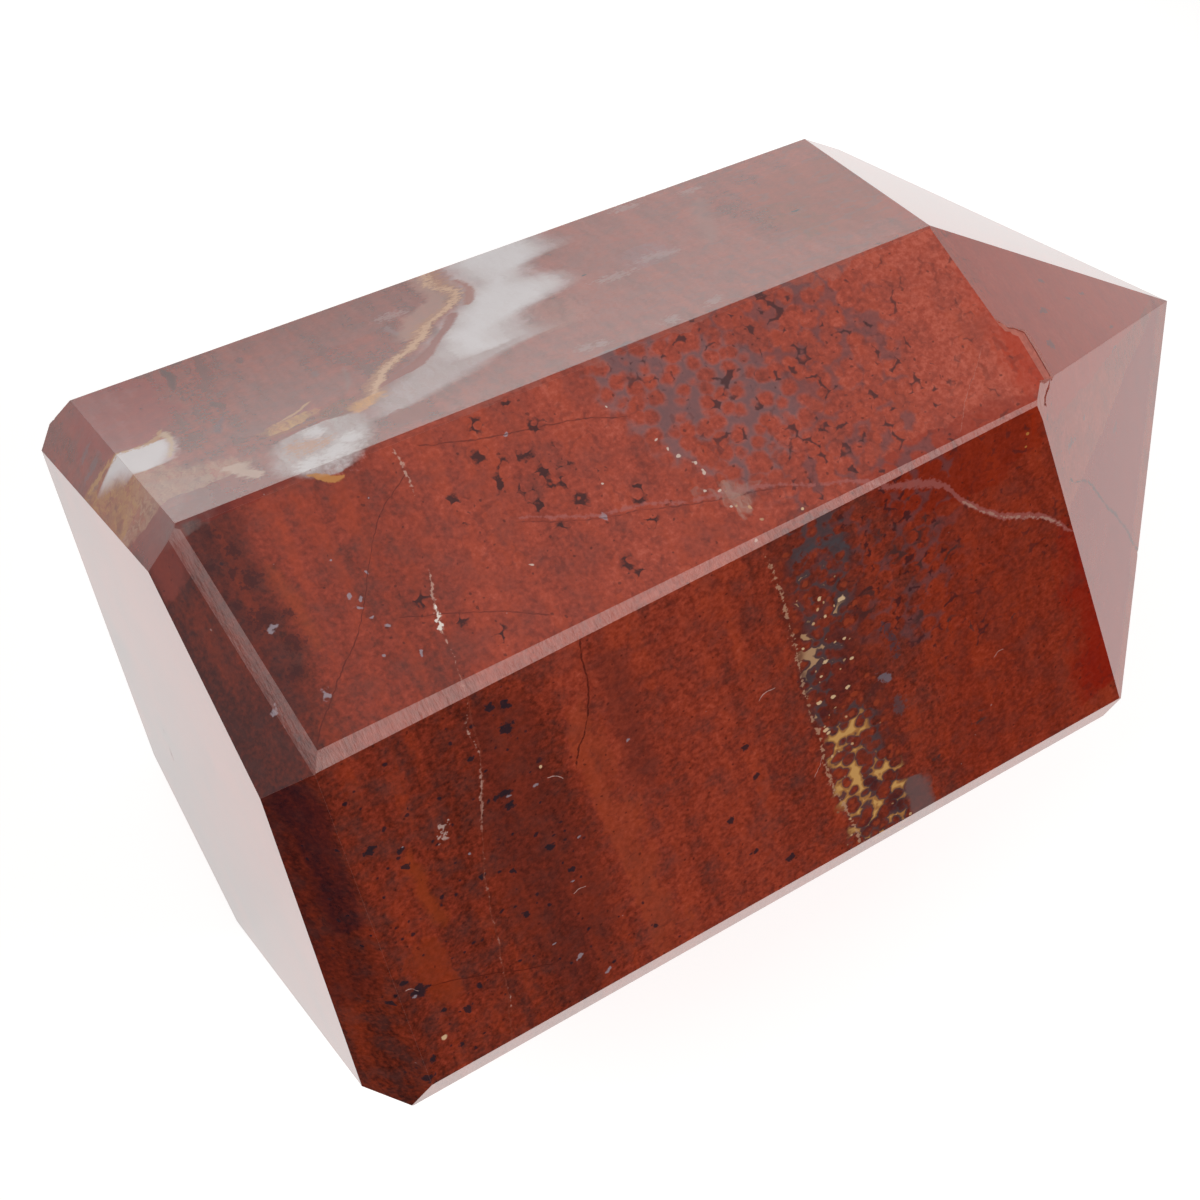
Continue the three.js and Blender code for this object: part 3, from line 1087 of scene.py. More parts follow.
        (10.0, -7.0, 22.0), (0.0, -5.0, 23.0), (-10.0, 0.0, 24.0), (-18.0, 4.0, 24.0), (-24.0, 3.0, 19.0),
        (-36.0, 3.0, 19.0), (-50.0, 9.0, 18.0), (-60.0, 12.0, 21.0), (-70.0, 18.0, 18.0), soft=5.0, fray=2.0,
    ), strength=0.7, edge=0.08, patchy=0.36),
    Mottles("4c2424", 1.0, 0.86, area(
        (10.0, -7.0, 34.0), (-10.0, 0.0, 34.0), (-20.0, 4.0, 34.0), (-50.0, 12.0, 34.0), soft=5.0,
    ), strength=0.55, edge=0.08, patchy=0.42),
    Mottles("55221f", 0.9, 0.78, area(
        (10.0, -30.0, 34.0), (-30.0, -30.0, 34.0), (-96.0, -50.0, 36.0), soft=9.0,
    ), strength=0.3, edge=0.08),
    Spots("3b1417", (
        (-48.7, 0.8, 0.8), (-49.7, -4.2, 0.8), (-49.2, 5.0, 0.6), (-50.6, 7.6, 0.6), (-48.0, -8.2, 0.6),
        (-49.0, -11.5, 0.7), (-51.0, -1.5, 0.5), (-50.2, 2.6, 0.5), (-47.4, -5.0, 0.4), (-52.0, 4.0, 0.5),
    ), strength=0.7, ragged=2.6, soft=0.9),
    Mottles("34181b", 1.0, 0.6, star_areas(
        (-22.2, 8.0, 0.8), (-23.0, 4.0, 0.8), (-22.6, -0.3, 0.9), (-21.5, 1.7, 0.7), (-19.0, 2.2, 0.9),
        (-16.8, 1.0, 0.8), (-18.3, -1.3, 0.8), (-16.2, -2.0, 0.8), (-20.4, -2.5, 0.8), (-13.8, -2.2, 0.7),
        (-18.4, -3.4, 0.8), (-16.7, -3.6, 0.9), (-20.1, -4.7, 0.8), (-12.8, -4.5, 0.9), (-15.9, -6.5, 0.8),
        (-19.0, -8.5, 0.7), (-10.8, -8.5, 0.9), (-10.9, -9.8, 0.7), (-11.0, -13.0, 0.8), (-15.2, -16.3, 0.8),
        (-14.5, -18.3, 0.7), (-27.7, 0.0, 0.6), (-27.8, -2.5, 0.7), (-18.3, 8.5, 0.7), (-16.5, 4.7, 0.8),
        (-35.0, -9.3, 0.9), (-29.6, -17.2, 0.8), (-32.5, -13.5, 0.6),
    ), strength=0.9, edge=0.06),
    # Slate stars and blue-black spots on the front.
    Mottles("4a302f", 1.3, 0.64, star_areas(
        (15.0, -26.0, 1.2), (11.5, -28.5, 1.3), (14.6, -32.0, 1.2), (15.8, -31.2, 1.2), (16.6, -32.6, 1.1),
        (12.0, -33.5, 1.1), (15.5, -36.0, 1.2), (13.7, -37.5, 1.1), (18.3, -39.0, 1.1), (7.7, -38.5, 1.2),
        (7.3, -41.0, 1.1), (10.8, -44.0, 1.1), (14.5, -44.5, 1.0), (13.3, -48.5, 1.1), (16.0, -53.5, 1.0),
        (18.5, -57.0, 1.0), (23.3, -60.0, 1.0), (10.8, -82.0, 1.0), (16.8, -78.5, 1.0),
    ), strength=0.85, edge=0.08),
    Spots("1f222b", (
        (-47.2, -37.0, 0.4), (-46.8, -40.0, 0.4), (-50.0, -34.5, 0.5), (-35.9, -37.0, 0.6),
        (-35.7, -40.0, 0.5), (-33.5, -24.0, 0.5), (-32.0, -25.0, 0.4), (-33.2, -28.0, 0.6),
        (-38.0, -29.5, 0.3), (-39.8, -49.0, 0.5), (-37.3, -51.0, 0.4), (-33.2, -50.0, 0.5),
        (-31.5, -57.0, 0.4), (-37.3, -60.0, 0.4), (-52.0, -58.7, 0.4), (-54.2, -62.5, 0.5),
        (-50.7, -61.5, 1.1), (-45.0, -69.0, 0.4), (-47.0, -71.0, 0.5), (-49.3, -68.5, 0.4),
        (-52.2, -76.0, 0.5), (-49.0, -77.0, 0.4), (-53.5, -79.5, 0.5), (-25.3, -78.0, 0.4),
        (-13.5, -67.5, 0.4), (-12.3, -76.0, 0.4), (-10.0, -54.0, 0.4), (-9.8, -61.0, 0.4),
        (-8.7, -82.0, 0.4),
    ), strength=0.85, ragged=1.4),
    Specks("22202a", 1.3, 0.34, 0.45, area(
        (-21.0, -57.0, -31.0), (-34.0, -57.0, -30.0), (-50.0, -56.0, -29.0), (-70.0, -57.0, -24.0),
        (-96.0, -54.0, -20.0), soft=6.0,
    ), strength=0.8),
    Specks("2b1a22", 1.3, 0.32, 0.3, area(
        (10.0, -57.0, -47.0), (-8.0, -57.0, -47.0), (-22.0, -57.0, -50.0), (-60.0, -58.0, -51.0), soft=3.0,
    ), strength=0.75),
    Specks("431b18", 0.9, 0.22, 0.42, area((8.0, -58.0, 34.0), (-96.0, -58.0, 34.0)), strength=0.6),
    Specks("b08a84", 2.6, 0.16, 0.22, area((12.0, -58.0, 34.0), (-110.0, -56.0, 40.0)), strength=0.55),
    # The band of orbs round the front: red orbs, with slate between the upper ones and gold below.
    Patch("562923", (
        (-21.0, -2.0, 7.0), (-34.0, -1.4, 7.0), (-45.0, -1.6, 8.4), (-57.0, -1.6, 7.6), (-66.0, -1.4, 7.8),
        (-78.0, -1.0, 6.8), (-90.0, 0.2, 9.0), (-100.0, 1.0, 9.0),
    ), strength=0.32, soft=1.2, fray=1.4, veil=0.3),
    Mottles("4c2a2a", 1.3, 0.68, area(
        (-22.0, -1.6, 7.0), (-45.0, -1.4, 7.0), (-90.0, -0.6, 8.6), soft=1.4,
    ), strength=0.45, edge=0.14),
    Specks("b04a2c", 1.3, 0.56, 0.75, area(
        (-24.0, -1.2, 6.6), (-45.0, -1.2, 6.6), (-90.0, -0.6, 8.0), soft=1.4,
    ), strength=0.5),
    Vein("53484c", (
        (0.6, -26.8, 0.0), (1.4, -26.0, 0.9), (3.4, -25.4, 0.8), (5.4, -26.2, 0.9), (6.6, -28.0, 0.8),
        (7.2, -29.6, 0.0),
    ), run=Run.ALONG, strength=0.75, ragged=1.2, soft=0.5),
    Patch("3e2026", (
        (-41.0, 1.4, 3.6), (-46.0, 0.4, 4.6), (-51.0, 0.4, 4.8), (-56.0, 1.6, 3.0),
    ), strength=0.28, soft=1.6, fray=2.4),
    Spots("3e2228", (
        (2.4, -77.4, 1.2), (4.6, -84.6, 1.2), (1.2, -84.8, 0.8), (-0.8, -47.0, 0.9), (0.2, -56.4, 0.7),
        (-0.8, -63.0, 0.6),
    ), strength=0.6, ragged=1.6, soft=0.8),
    *(Vein(colour, path, strength, ragged=1.4, soft=0.5) for colour, strength, path in (
        ("443c44", 0.75, (
            (8.4, -43.0, 0.0), (8.8, -46.0, 0.7), (9.1, -50.0, 0.6), (9.0, -54.0, 0.5), (8.6, -57.0, 0.0),
        )),
        ("76707a", 0.75, ((6.6, -53.6, 0.0), (6.8, -55.4, 0.7), (7.6, -57.4, 1.0), (7.2, -59.0, 0.0))),
        ("57484c", 0.7, ((7.8, -60.0, 0.0), (8.0, -63.0, 0.9), (8.2, -66.0, 1.1), (8.0, -69.6, 0.0))),
    )),
    Patch("75605f", (
        (-80.6, 7.6, 7.6), (-82.0, 6.8, 8.8), (-86.0, 6.3, 9.2), (-90.0, 6.4, 9.3), (-98.0, 7.0, 9.0),
    ), strength=0.7, soft=0.9, fray=0.6),
    Mottles("4d484c", 1.3, 0.56, area(
        (-22.0, 0.0, 6.6), (-38.0, 0.2, 5.6), (-46.0, -1.2, 3.0), (-60.0, -1.2, 5.0), (-76.0, -1.0, 6.4),
        (-100.0, 0.0, 7.0), soft=1.4, fray=1.0,
    ), strength=0.65, edge=0.1, patchy=0.4),
    Mottles("b87c44", 1.3, 0.69, area(
        (-58.0, 0.6, 0.6), (-61.0, -1.2, 3.6), (-70.0, -1.0, 4.0), (-76.0, -1.0, 7.0), (-90.0, -0.6, 6.4),
        (-100.0, 0.0, 6.4), soft=1.4, fray=1.2,
    ), strength=0.85, edge=0.06, patchy=0.5),
    Mottles("dca864", 1.3, 0.83, area(
        (-62.0, -1.2, 3.0), (-70.0, -1.0, 4.0), (-76.0, -1.0, 7.0), (-90.0, -0.6, 6.4), (-100.0, 0.0, 6.4),
        soft=1.4,
    ), strength=0.8, edge=0.06, patchy=0.5),
    Mottles("c89c74", 1.3, 0.8, area(
        (-30.0, 0.0, 4.0), (-50.0, -1.0, 4.6), (-60.0, -1.2, 5.0), soft=1.4,
    ), strength=0.8, patchy=0.5),
    Specks("dcae82", 0.9, 0.26, 0.3, area(
        (-32.0, 0.0, 4.6), (-50.0, -1.4, 5.0), (-62.0, -1.4, 5.6), (-90.0, -0.8, 6.6), (-98.0, 0.0, 7.0),
        soft=1.0, fray=0.6,
    ), strength=0.85),
    Spots("c08040", ((28.7, -27.5, 0.16), (29.2, -25.5, 0.14)), strength=0.8, wander=Wander.STEADY),
    Spots("e6c096", (
        (2.5, -34.0, 0.22), (4.7, -36.0, 0.32), (2.5, -37.5, 0.22), (-0.7, -41.0, 0.2), (1.2, -46.0, 0.3),
        (0.5, -48.5, 0.2), (4.2, -48.5, 0.25), (-0.3, -54.0, 0.25), (1.3, -54.5, 0.25), (3.2, -54.0, 0.28),
        (-0.7, -60.4, 0.3), (-0.6, -61.4, 0.26), (-50.3, -73.5, 0.3), (-31.0, -36.0, 0.2), (3.5, -20.0, 0.2),
        (3.8, -43.6, 0.2),
    ), strength=0.9, wander=Wander.STEADY),
    Vein("c09478", (
        (-2.6, -21.0, 0.0), (-2.0, -24.0, -0.1), (-1.4, -38.0, 0.05), (-1.7, -50.0, -0.1),
        (-1.7, -62.0, 0.05), (-1.5, -72.0, 0.1), (-0.8, -80.0, 0.05), (0.2, -90.0, -0.1), (0.6, -98.0, 0.0),
    ), strength=0.7, ragged=1.1),
    # White and pale specks.
    Spots("a2949c", (
        (-41.0, -6.0, 0.21), (-40.6, -7.6, 0.24), (-40.2, -9.2, 0.17), (-40.0, -6.6, 0.14),
        (-39.3, -10.6, 0.28), (-49.2, -5.8, 0.32), (-41.0, -1.4, 0.14), (-38.3, -4.0, 0.17),
        (-41.0, -13.6, 0.17), (-37.8, -15.2, 0.21), (-47.5, -14.5, 0.28), (-35.3, 4.4, 0.14),
        (-52.6, -13.6, 0.35), (-20.0, 5.7, 0.28), (-14.8, -9.5, 0.35), (-32.2, -38.5, 0.21),
        (-30.0, -51.5, 0.21), (-32.0, -60.0, 0.21), (-33.7, -75.0, 0.28), (-31.0, -80.5, 0.28),
        (-21.8, -39.5, 0.21), (-40.5, -43.7, 0.17), (-36.0, -69.5, 0.21), (-46.9, -36.6, 0.14),
        (-35.6, -37.8, 0.17), (-51.6, -62.4, 0.21),
    ), strength=0.75, ragged=1.1, soft=0.6),
    # Cracks healed with iron, thinner than they are drawn here.
    *(Vein(colour, path, strength, Run.ALONG, soft=0.12, ragged=0.12) for colour, strength, path in (
        ("541a14", 0.75, (
            (-51.0, -19.4, 0.0), (-50.4, -18.8, 0.1), (-46.1, -13.8, 0.12), (-41.9, -9.7, 0.12),
            (-34.7, 2.0, 0.1), (-30.8, 5.5, 0.1), (-29.6, 6.8, 0.0),
        )),
        ("541a14", 0.65, (
            (-38.2, -10.0, 0.0), (-37.6, -10.3, 0.1), (-34.4, -11.8, 0.1), (-28.3, -14.9, 0.1),
            (-24.7, -17.6, 0.1), (-23.8, -18.4, 0.0),
        )),
        ("541a14", 0.7, (
            (-28.6, 8.6, 0.0), (-27.9, 8.3, 0.12), (-21.1, 5.8, 0.12), (-13.3, 3.5, 0.12), (-7.8, 1.2, 0.1),
            (-6.8, 0.8, 0.0),
        )),
        ("4a1613", 0.7, (
            (-50.2, -62.0, 0.0), (-49.5, -62.5, 0.12), (-43.5, -67.5, 0.12), (-37.0, -73.0, 0.1),
            (-36.0, -74.0, 0.0),
        )),
    )),
    Vein("3c1412", (
        (-22.8, -20.0, 0.0), (-23.0, -22.0, 0.14), (-24.0, -30.0, 0.16), (-27.2, -38.5, 0.12),
        (-28.0, -41.0, 0.0),
    ), strength=0.75, soft=0.14, ragged=0.2),
    Vein("3c1412", (
        (33.8, -39.0, 0.0), (34.0, -40.0, 0.2), (37.0, -47.0, 0.22), (39.5, -60.0, 0.25),
        (42.0, -75.0, 0.22), (45.0, -97.0, 0.2), (46.0, -104.0, 0.0),
    ), strength=0.8, soft=0.15, ragged=0.4),
    # The white vein, from the top over the edge and down the front.
    Vein("c9a090", (
        (-30.2, 10.4, 0.0), (-30.3, 9.3, 0.1), (-30.4, 7.4, 0.14), (-30.8, 3.2, 0.06), (-31.6, -1.0, 0.0),
        (-32.4, -5.4, 0.0), (-33.1, -7.2, 0.1), (-34.0, -9.9, 0.2), (-34.5, -12.2, 0.4),
        (-34.7, -13.6, 0.34), (-34.8, -14.6, 0.02), (-34.7, -16.0, -0.1), (-35.2, -19.7, -0.04),
        (-35.6, -22.0, -0.1), (-36.5, -25.5, -0.1), (-36.6, -30.3, -0.04), (-37.4, -33.5, 0.12),
        (-38.1, -38.0, 0.16), (-38.6, -40.0, 0.02), (-39.4, -45.0, -0.14), (-40.6, -53.0, -0.16),
        (-41.5, -63.0, -0.2), (-42.2, -70.0, -0.16), (-42.6, -75.0, -0.06), (-43.7, -81.5, 0.0),
        (-45.0, -94.0, 0.0),
    ), strength=0.7, soft=0.18, ragged=0.5),
    Vein("8c4434", (
        (-34.6, -14.0, 0.0), (-35.2, -19.7, 0.16), (-36.6, -30.3, 0.16), (-38.6, -40.0, 0.16),
        (-40.6, -53.0, 0.16), (-42.2, -70.0, 0.16), (-44.5, -87.0, 0.14), (-45.0, -94.0, 0.0),
    ), strength=0.5, soft=0.16, ragged=0.2),
    Vein("efe2d8", (
        (-33.2, -8.0, 0.0), (-34.2, -11.0, 0.14), (-34.6, -12.6, 0.3), (-34.7, -13.6, 0.24),
        (-34.8, -14.6, 0.0),
    ), strength=0.9, soft=0.16, ragged=0.6),
    # The long pale vein, and the burst where it crosses the dotted one.
    Vein("a8605a", (
        (-24.6, -4.6, 0.0), (-22.2, -5.7, 0.16), (-19.4, -7.0, 0.2), (-15.8, -9.0, 0.22),
        (-10.4, -11.0, 0.22), (-6.3, -13.0, 0.25), (-2.8, -13.8, 0.4), (2.2, -15.7, 0.3), (5.2, -17.6, 0.25),
        (9.8, -19.9, 0.3), (12.9, -22.5, 0.7), (16.0, -24.5, 0.9), (18.5, -26.7, 0.9), (20.0, -30.0, 1.0),
        (21.8, -33.3, 1.1), (24.2, -37.2, 1.2), (26.6, -39.7, 1.1), (28.6, -41.7, 1.0), (30.1, -44.5, 0.9),
        (31.7, -48.0, 0.8), (33.0, -51.0, 0.0),
    ), run=Run.ALONG, strength=0.7, soft=0.4, ragged=0.6),
    Vein("541a18", (
        (-24.6, -5.2, 0.0), (-22.2, -6.3, 0.1), (-15.8, -9.5, 0.1), (-6.3, -13.4, 0.1), (2.2, -16.2, 0.1),
        (9.8, -20.4, 0.0),
    ), run=Run.ALONG, strength=0.6, soft=0.12, ragged=0.2),
    Vein("b98f80", (
        (19.0, -28.4, 0.0), (20.6, -31.4, 0.2), (22.6, -35.0, 0.3), (25.4, -38.8, 0.3), (28.4, -41.8, 0.3),
        (31.0, -46.5, 0.2), (32.4, -50.0, 0.0),
    ), run=Run.ALONG, strength=0.7, soft=0.3, ragged=0.8),
    Patch("b48c7e", (
        (-10.6, -3.6, -3.6), (-12.0, -4.0, -2.8), (-13.4, -3.9, -1.6), (-14.6, -3.6, -1.0),
        (-16.0, -2.8, -0.2), (-17.4, -2.2, -1.0), (-19.0, -1.6, -1.6),
    ), strength=0.7, soft=1.2, fray=2.6, wander=Wander.RAGGED, veil=0.8),
    Patch("a07c74", (
        (-11.6, -5.6, -5.6), (-12.6, -6.6, -2.0), (-13.4, -6.0, 0.0), (-14.4, -3.6, 2.0), (-15.6, 0.6, 0.6),
    ), strength=0.55, soft=1.0, fray=2.2, wander=Wander.RAGGED, veil=0.8),
    Specks("d0a47e", 0.9, 0.3, 0.6, area(
        (-12.0, -4.6, -3.4), (-14.5, -4.0, -2.0), (-17.0, -3.0, -0.2), (-19.4, -2.4, -0.8), soft=1.0,
    ), strength=0.8),
    Spots("dcc3b4", (
        (-6.2, -3.0, 0.16), (-5.6, -5.2, 0.16), (-5.0, -7.0, 0.18), (-4.6, -8.6, 0.16), (-4.3, -10.0, 0.18),
        (-3.5, -13.0, 0.2), (-2.9, -16.0, 0.18), (-2.3, -20.0, 0.2), (-5.4, -12.6, 0.2), (-9.0, 3.4, 0.16),
        (-12.6, -6.4, 0.14), (-24.4, -11.6, 0.14),
    ), strength=0.85, ragged=0.6),
    # Slate spots on the point.
    Spots("5b464a", (
        (45.6, -4.6, 0.5), (48.7, -1.3, 0.5), (40.1, -7.4, 0.6), (37.6, -14.5, 0.5), (50.0, -19.2, 0.5),
        (43.0, 2.0, 0.4), (48.7, -27.1, 0.6), (54.4, -59.6, 0.5), (52.8, -64.0, 0.5), (35.6, -34.4, 0.7),
        (45.9, -52.2, 0.6), (39.0, -33.0, 0.4),
    ), strength=0.6, ragged=2.2, soft=0.7),
    # Scratches of the last polish.
    Vein("b98478", (
        (21.2, -21.2, 0.0), (21.8, -20.7, 0.05), (25.2, -16.0, 0.06), (28.7, -11.0, 0.05),
        (29.2, -10.4, 0.0),
    ), run=Run.ALONG, strength=0.5, soft=0.12, ragged=0.1),
    # A white scuff on the front.
    Vein("cdb2a8", (
        (-42.4, -34.6, 0.0), (-42.3, -36.0, 0.1), (-42.6, -37.4, 0.4), (-43.0, -38.8, 0.3),
        (-43.3, -40.2, 0.0),
    ), strength=0.7, soft=0.4, ragged=2.0),
    # Fibres of a polishing cloth that cling to the front.
    *(Vein("dcb4aa", path, run=Run.ALONG, strength=0.85, soft=0.1, ragged=0.05) for path in (
        ((-7.0, -47.0, 0.0), (-6.7, -46.2, 0.09), (-5.9, -45.5, 0.09), (-5.0, -45.4, 0.09),
         (-4.6, -45.5, 0.0)),
        ((-3.3, -69.4, 0.0), (-3.0, -68.8, 0.09), (-2.3, -67.2, 0.09), (-1.9, -65.8, 0.09),
         (-1.7, -65.4, 0.0)),
        ((-30.9, -38.2, 0.0), (-30.6, -38.4, 0.09), (-29.9, -38.6, 0.09), (-29.2, -39.6, 0.09),
         (-29.0, -39.9, 0.0)),
        ((-52.4, -60.8, 0.0), (-52.1, -60.6, 0.09), (-51.5, -60.8, 0.09), (-51.0, -62.0, 0.09),
         (-50.8, -62.4, 0.0)),
        ((-32.4, -62.4, 0.0), (-32.1, -62.3, 0.08), (-31.4, -62.0, 0.08), (-30.8, -62.2, 0.08),
         (-30.5, -62.3, 0.0)),
        ((20.0, -68.0, 0.0), (20.3, -67.6, 0.08), (20.9, -66.8, 0.08), (21.3, -66.9, 0.08),
         (21.6, -67.4, 0.0)),
    )),
)


@dataclass(frozen=True)
class Jasper:
    """Red jasper: chalcedony full of iron oxide, with pale veins and clouds of clear chalcedony in it.

    It was sawn, ground on a flat lap and polished, so the sides are as glossy as glass and show the
    colour deep and clear. The narrow edge strips only had the grinding wheel, and look paler and dull.
    """

    side: Side
    polish: Polish = Polish.GLOSSY
    zone: int = 0
    # Quartz has an index of 1.54.
    ior: float = 1.54
    # Iron-rich red from the darkest maroon to the brightest brick.
    reds: tuple[tuple[float, str], ...] = (
        (0.0, "451a14"),
        (0.25, "6e2a1c"),
        (0.5, "903827"),
        (0.75, "ac4834"),
        (1.0, "c4604c"),
    )
    orange: str = "a83c16"
    mauve: str = "8a5650"
    # Ground stone scatters light in its scratches, so it looks paler. On the worn edges this pale colour is
    # also a painted highlight.
    chalk: str = "c98f84"
    # The wheel leaves fine lines across the strips, a third of a millimetre apart: their waves for each
    # millimetre, how much the chalk varies with them, how deep they are and how much of that shows.
    lines: tuple[float, float, float] = (3.2, 0.7, 0.7)
    line_contrast: float = 0.9
    line_depth: float = 0.06
    line_strength: float = 0.8
    # Clouds of some three millimetres, in waves for each millimetre.
    cloud_waves: float = 0.35
    # Orange shows from the first value of the streaks and is full at the second; dusty mauve does so
    # with the clouds.
    flame_range: tuple[float, float] = (-0.05, 0.45)
    dusty_range: tuple[float, float] = (0.1, -0.45)

    def name(self) -> str:
        """Gives the name of the material."""
        return f"{self.polish.name.lower()}_jasper_{self.side.name}_{self.zone}"

    def material(self) -> bpy.types.Material:
        """Makes the material of a flat on this side with this polish.

        Returns:
            The material.
        """
        made, graph = start_material(self.name())
        stone = StoneMap(graph)
        colour = self.red_ground(stone)
        for mark in self.marks():
            strength = graph.node("Math", {0: mark.mask(stone), 1: mark.strength}, operation="MULTIPLY")
            colour = self.lay(graph, strength, colour, mark.colour)
        roughness, chalk = self.polish.value
        inputs = {"Roughness": roughness, "IOR": self.ior}
        if chalk:
            place = graph.node("VectorMath", {0: stone.place, 1: self.lines}, operation="MULTIPLY")
            lines = stone.noise(place, 1.0, 3.0)
            share = graph.node(
                "Math", {0: lines, 1: self.line_contrast * chalk, 2: chalk}, operation="MULTIPLY_ADD"
            )
            colour = self.lay(graph, share, colour, self.chalk)
            if self.polish is not Polish.RUBBED:
                inputs["Normal"] = graph.node("Bump", {
                    "Height": lines,
                    "Distance": self.line_depth * MM,
                    "Strength": self.line_strength,
                })
        inputs["Base Color"] = colour
        graph.node("OutputMaterial", {"Surface": graph.node("BsdfPrincipled", inputs)})
        return made

    def marks(self) -> list[Mark]:
        """Lists the markings that reach into the zone.

        Returns:
            The markings, from the deepest to the topmost: none on broken stone and on worn edges, whose pale
            line is partly a painted highlight.
        """
        if self.polish in (Polish.BROKEN, Polish.EDGE):
            return []
        zone = self.side.zones()[self.zone]
        return [mark for mark in JASPER_MARKS if mark.span().meets(zone)]

    def lay(self, graph: Graph, share: Source, under: Source, colour: str) -> bpy.types.Node:
        """Lays a colour over another.

        Args:
            graph: The material's nodes.
            share: How much of it covers the one below.
            under: The colour below.
            colour: The colour above, in hex.

        Returns:
            The node with the mixed colour.
        """
        return graph.node("Mix", {"Factor": share, "A": under, "B": linear(colour)}, data_type="RGBA")

    def red_ground(self, stone: StoneMap) -> bpy.types.Node:
        """Adds the red of the stone, with the bands across it, its streaks and its fine clouds.

        Args:
            stone: The map of the stone.

        Returns:
            The node with the colour.
        """
        graph = stone.graph
        side = self.side
        along, _, _ = stone.at(Wander.UNEVEN)
        tone = graph.node("FloatCurve", {"Value": along}, points=list(side.tones))
        clouds = stone.noise(stone.place, self.cloud_waves, 4.0)
        layers = ((stone.streaks, side.streaks), (clouds, side.clouds), (stone.grain, side.speckle))
        for noise, amount in layers:
            tone = graph.node("Math", {0: noise, 1: amount, 2: tone}, operation="MULTIPLY_ADD")
        red = graph.node("ValToRGB", {"Fac": tone}, stops=list(self.reds)).outputs["Color"]
        tints = (
            (stone.streaks, self.flame_range, side.orange, self.orange),
            (clouds, self.dusty_range, side.mauve, self.mauve),
        )
        for noise, (start, full), most, colour in tints:
            share = graph.node("MapRange", {
                "Value": noise,
                "From Min": start,
                "From Max": full,
                "To Max": most,
            })
            red = self.lay(graph, share, red, colour)
        return red


BROKEN_STONE = Jasper(TOP_SIDE, Polish.BROKEN)
# Worn edges: a pale line that is partly wear and partly a painted highlight on the bevels.
WORN_EDGE_AND_HIGHLIGHT = Jasper(TOP_SIDE, Polish.EDGE)


@dataclass(frozen=True)
class Softbox:
    """A rectangular studio light, hung so that it faces a point."""

    name: str
    place: tuple[float, float, float]
    faces: tuple[float, float, float]
    width: float
    height: float
    radiance: float
    # How wide the light opens: 180 degrees for bare cloth, less with a grid over it.
    spread: float = 180.0

    def build(self) -> bpy.types.Object:
        """Hangs the light.

        Returns:
            The light's object.
        """
        lamp = bpy.data.lights.new(self.name, "AREA")
        lamp.shape = "RECTANGLE"
        lamp.size = self.width * MM
        lamp.size_y = self.height * MM
        lamp.spread = math.radians(self.spread)
        # A matt surface of this area and radiance gives off this energy.
        lamp.energy = self.radiance * math.pi * lamp.size * lamp.size_y
        made = add_object(self.name, lamp)
        made.location = Vector(self.place) * MM
        back = (Vector(self.place) - Vector(self.faces)).normalized()
        across = Vector((back.z, 0.0, -back.x)).normalized()
        made.rotation_euler = Matrix((across, back.cross(across), back)).transposed().to_euler()
        return made


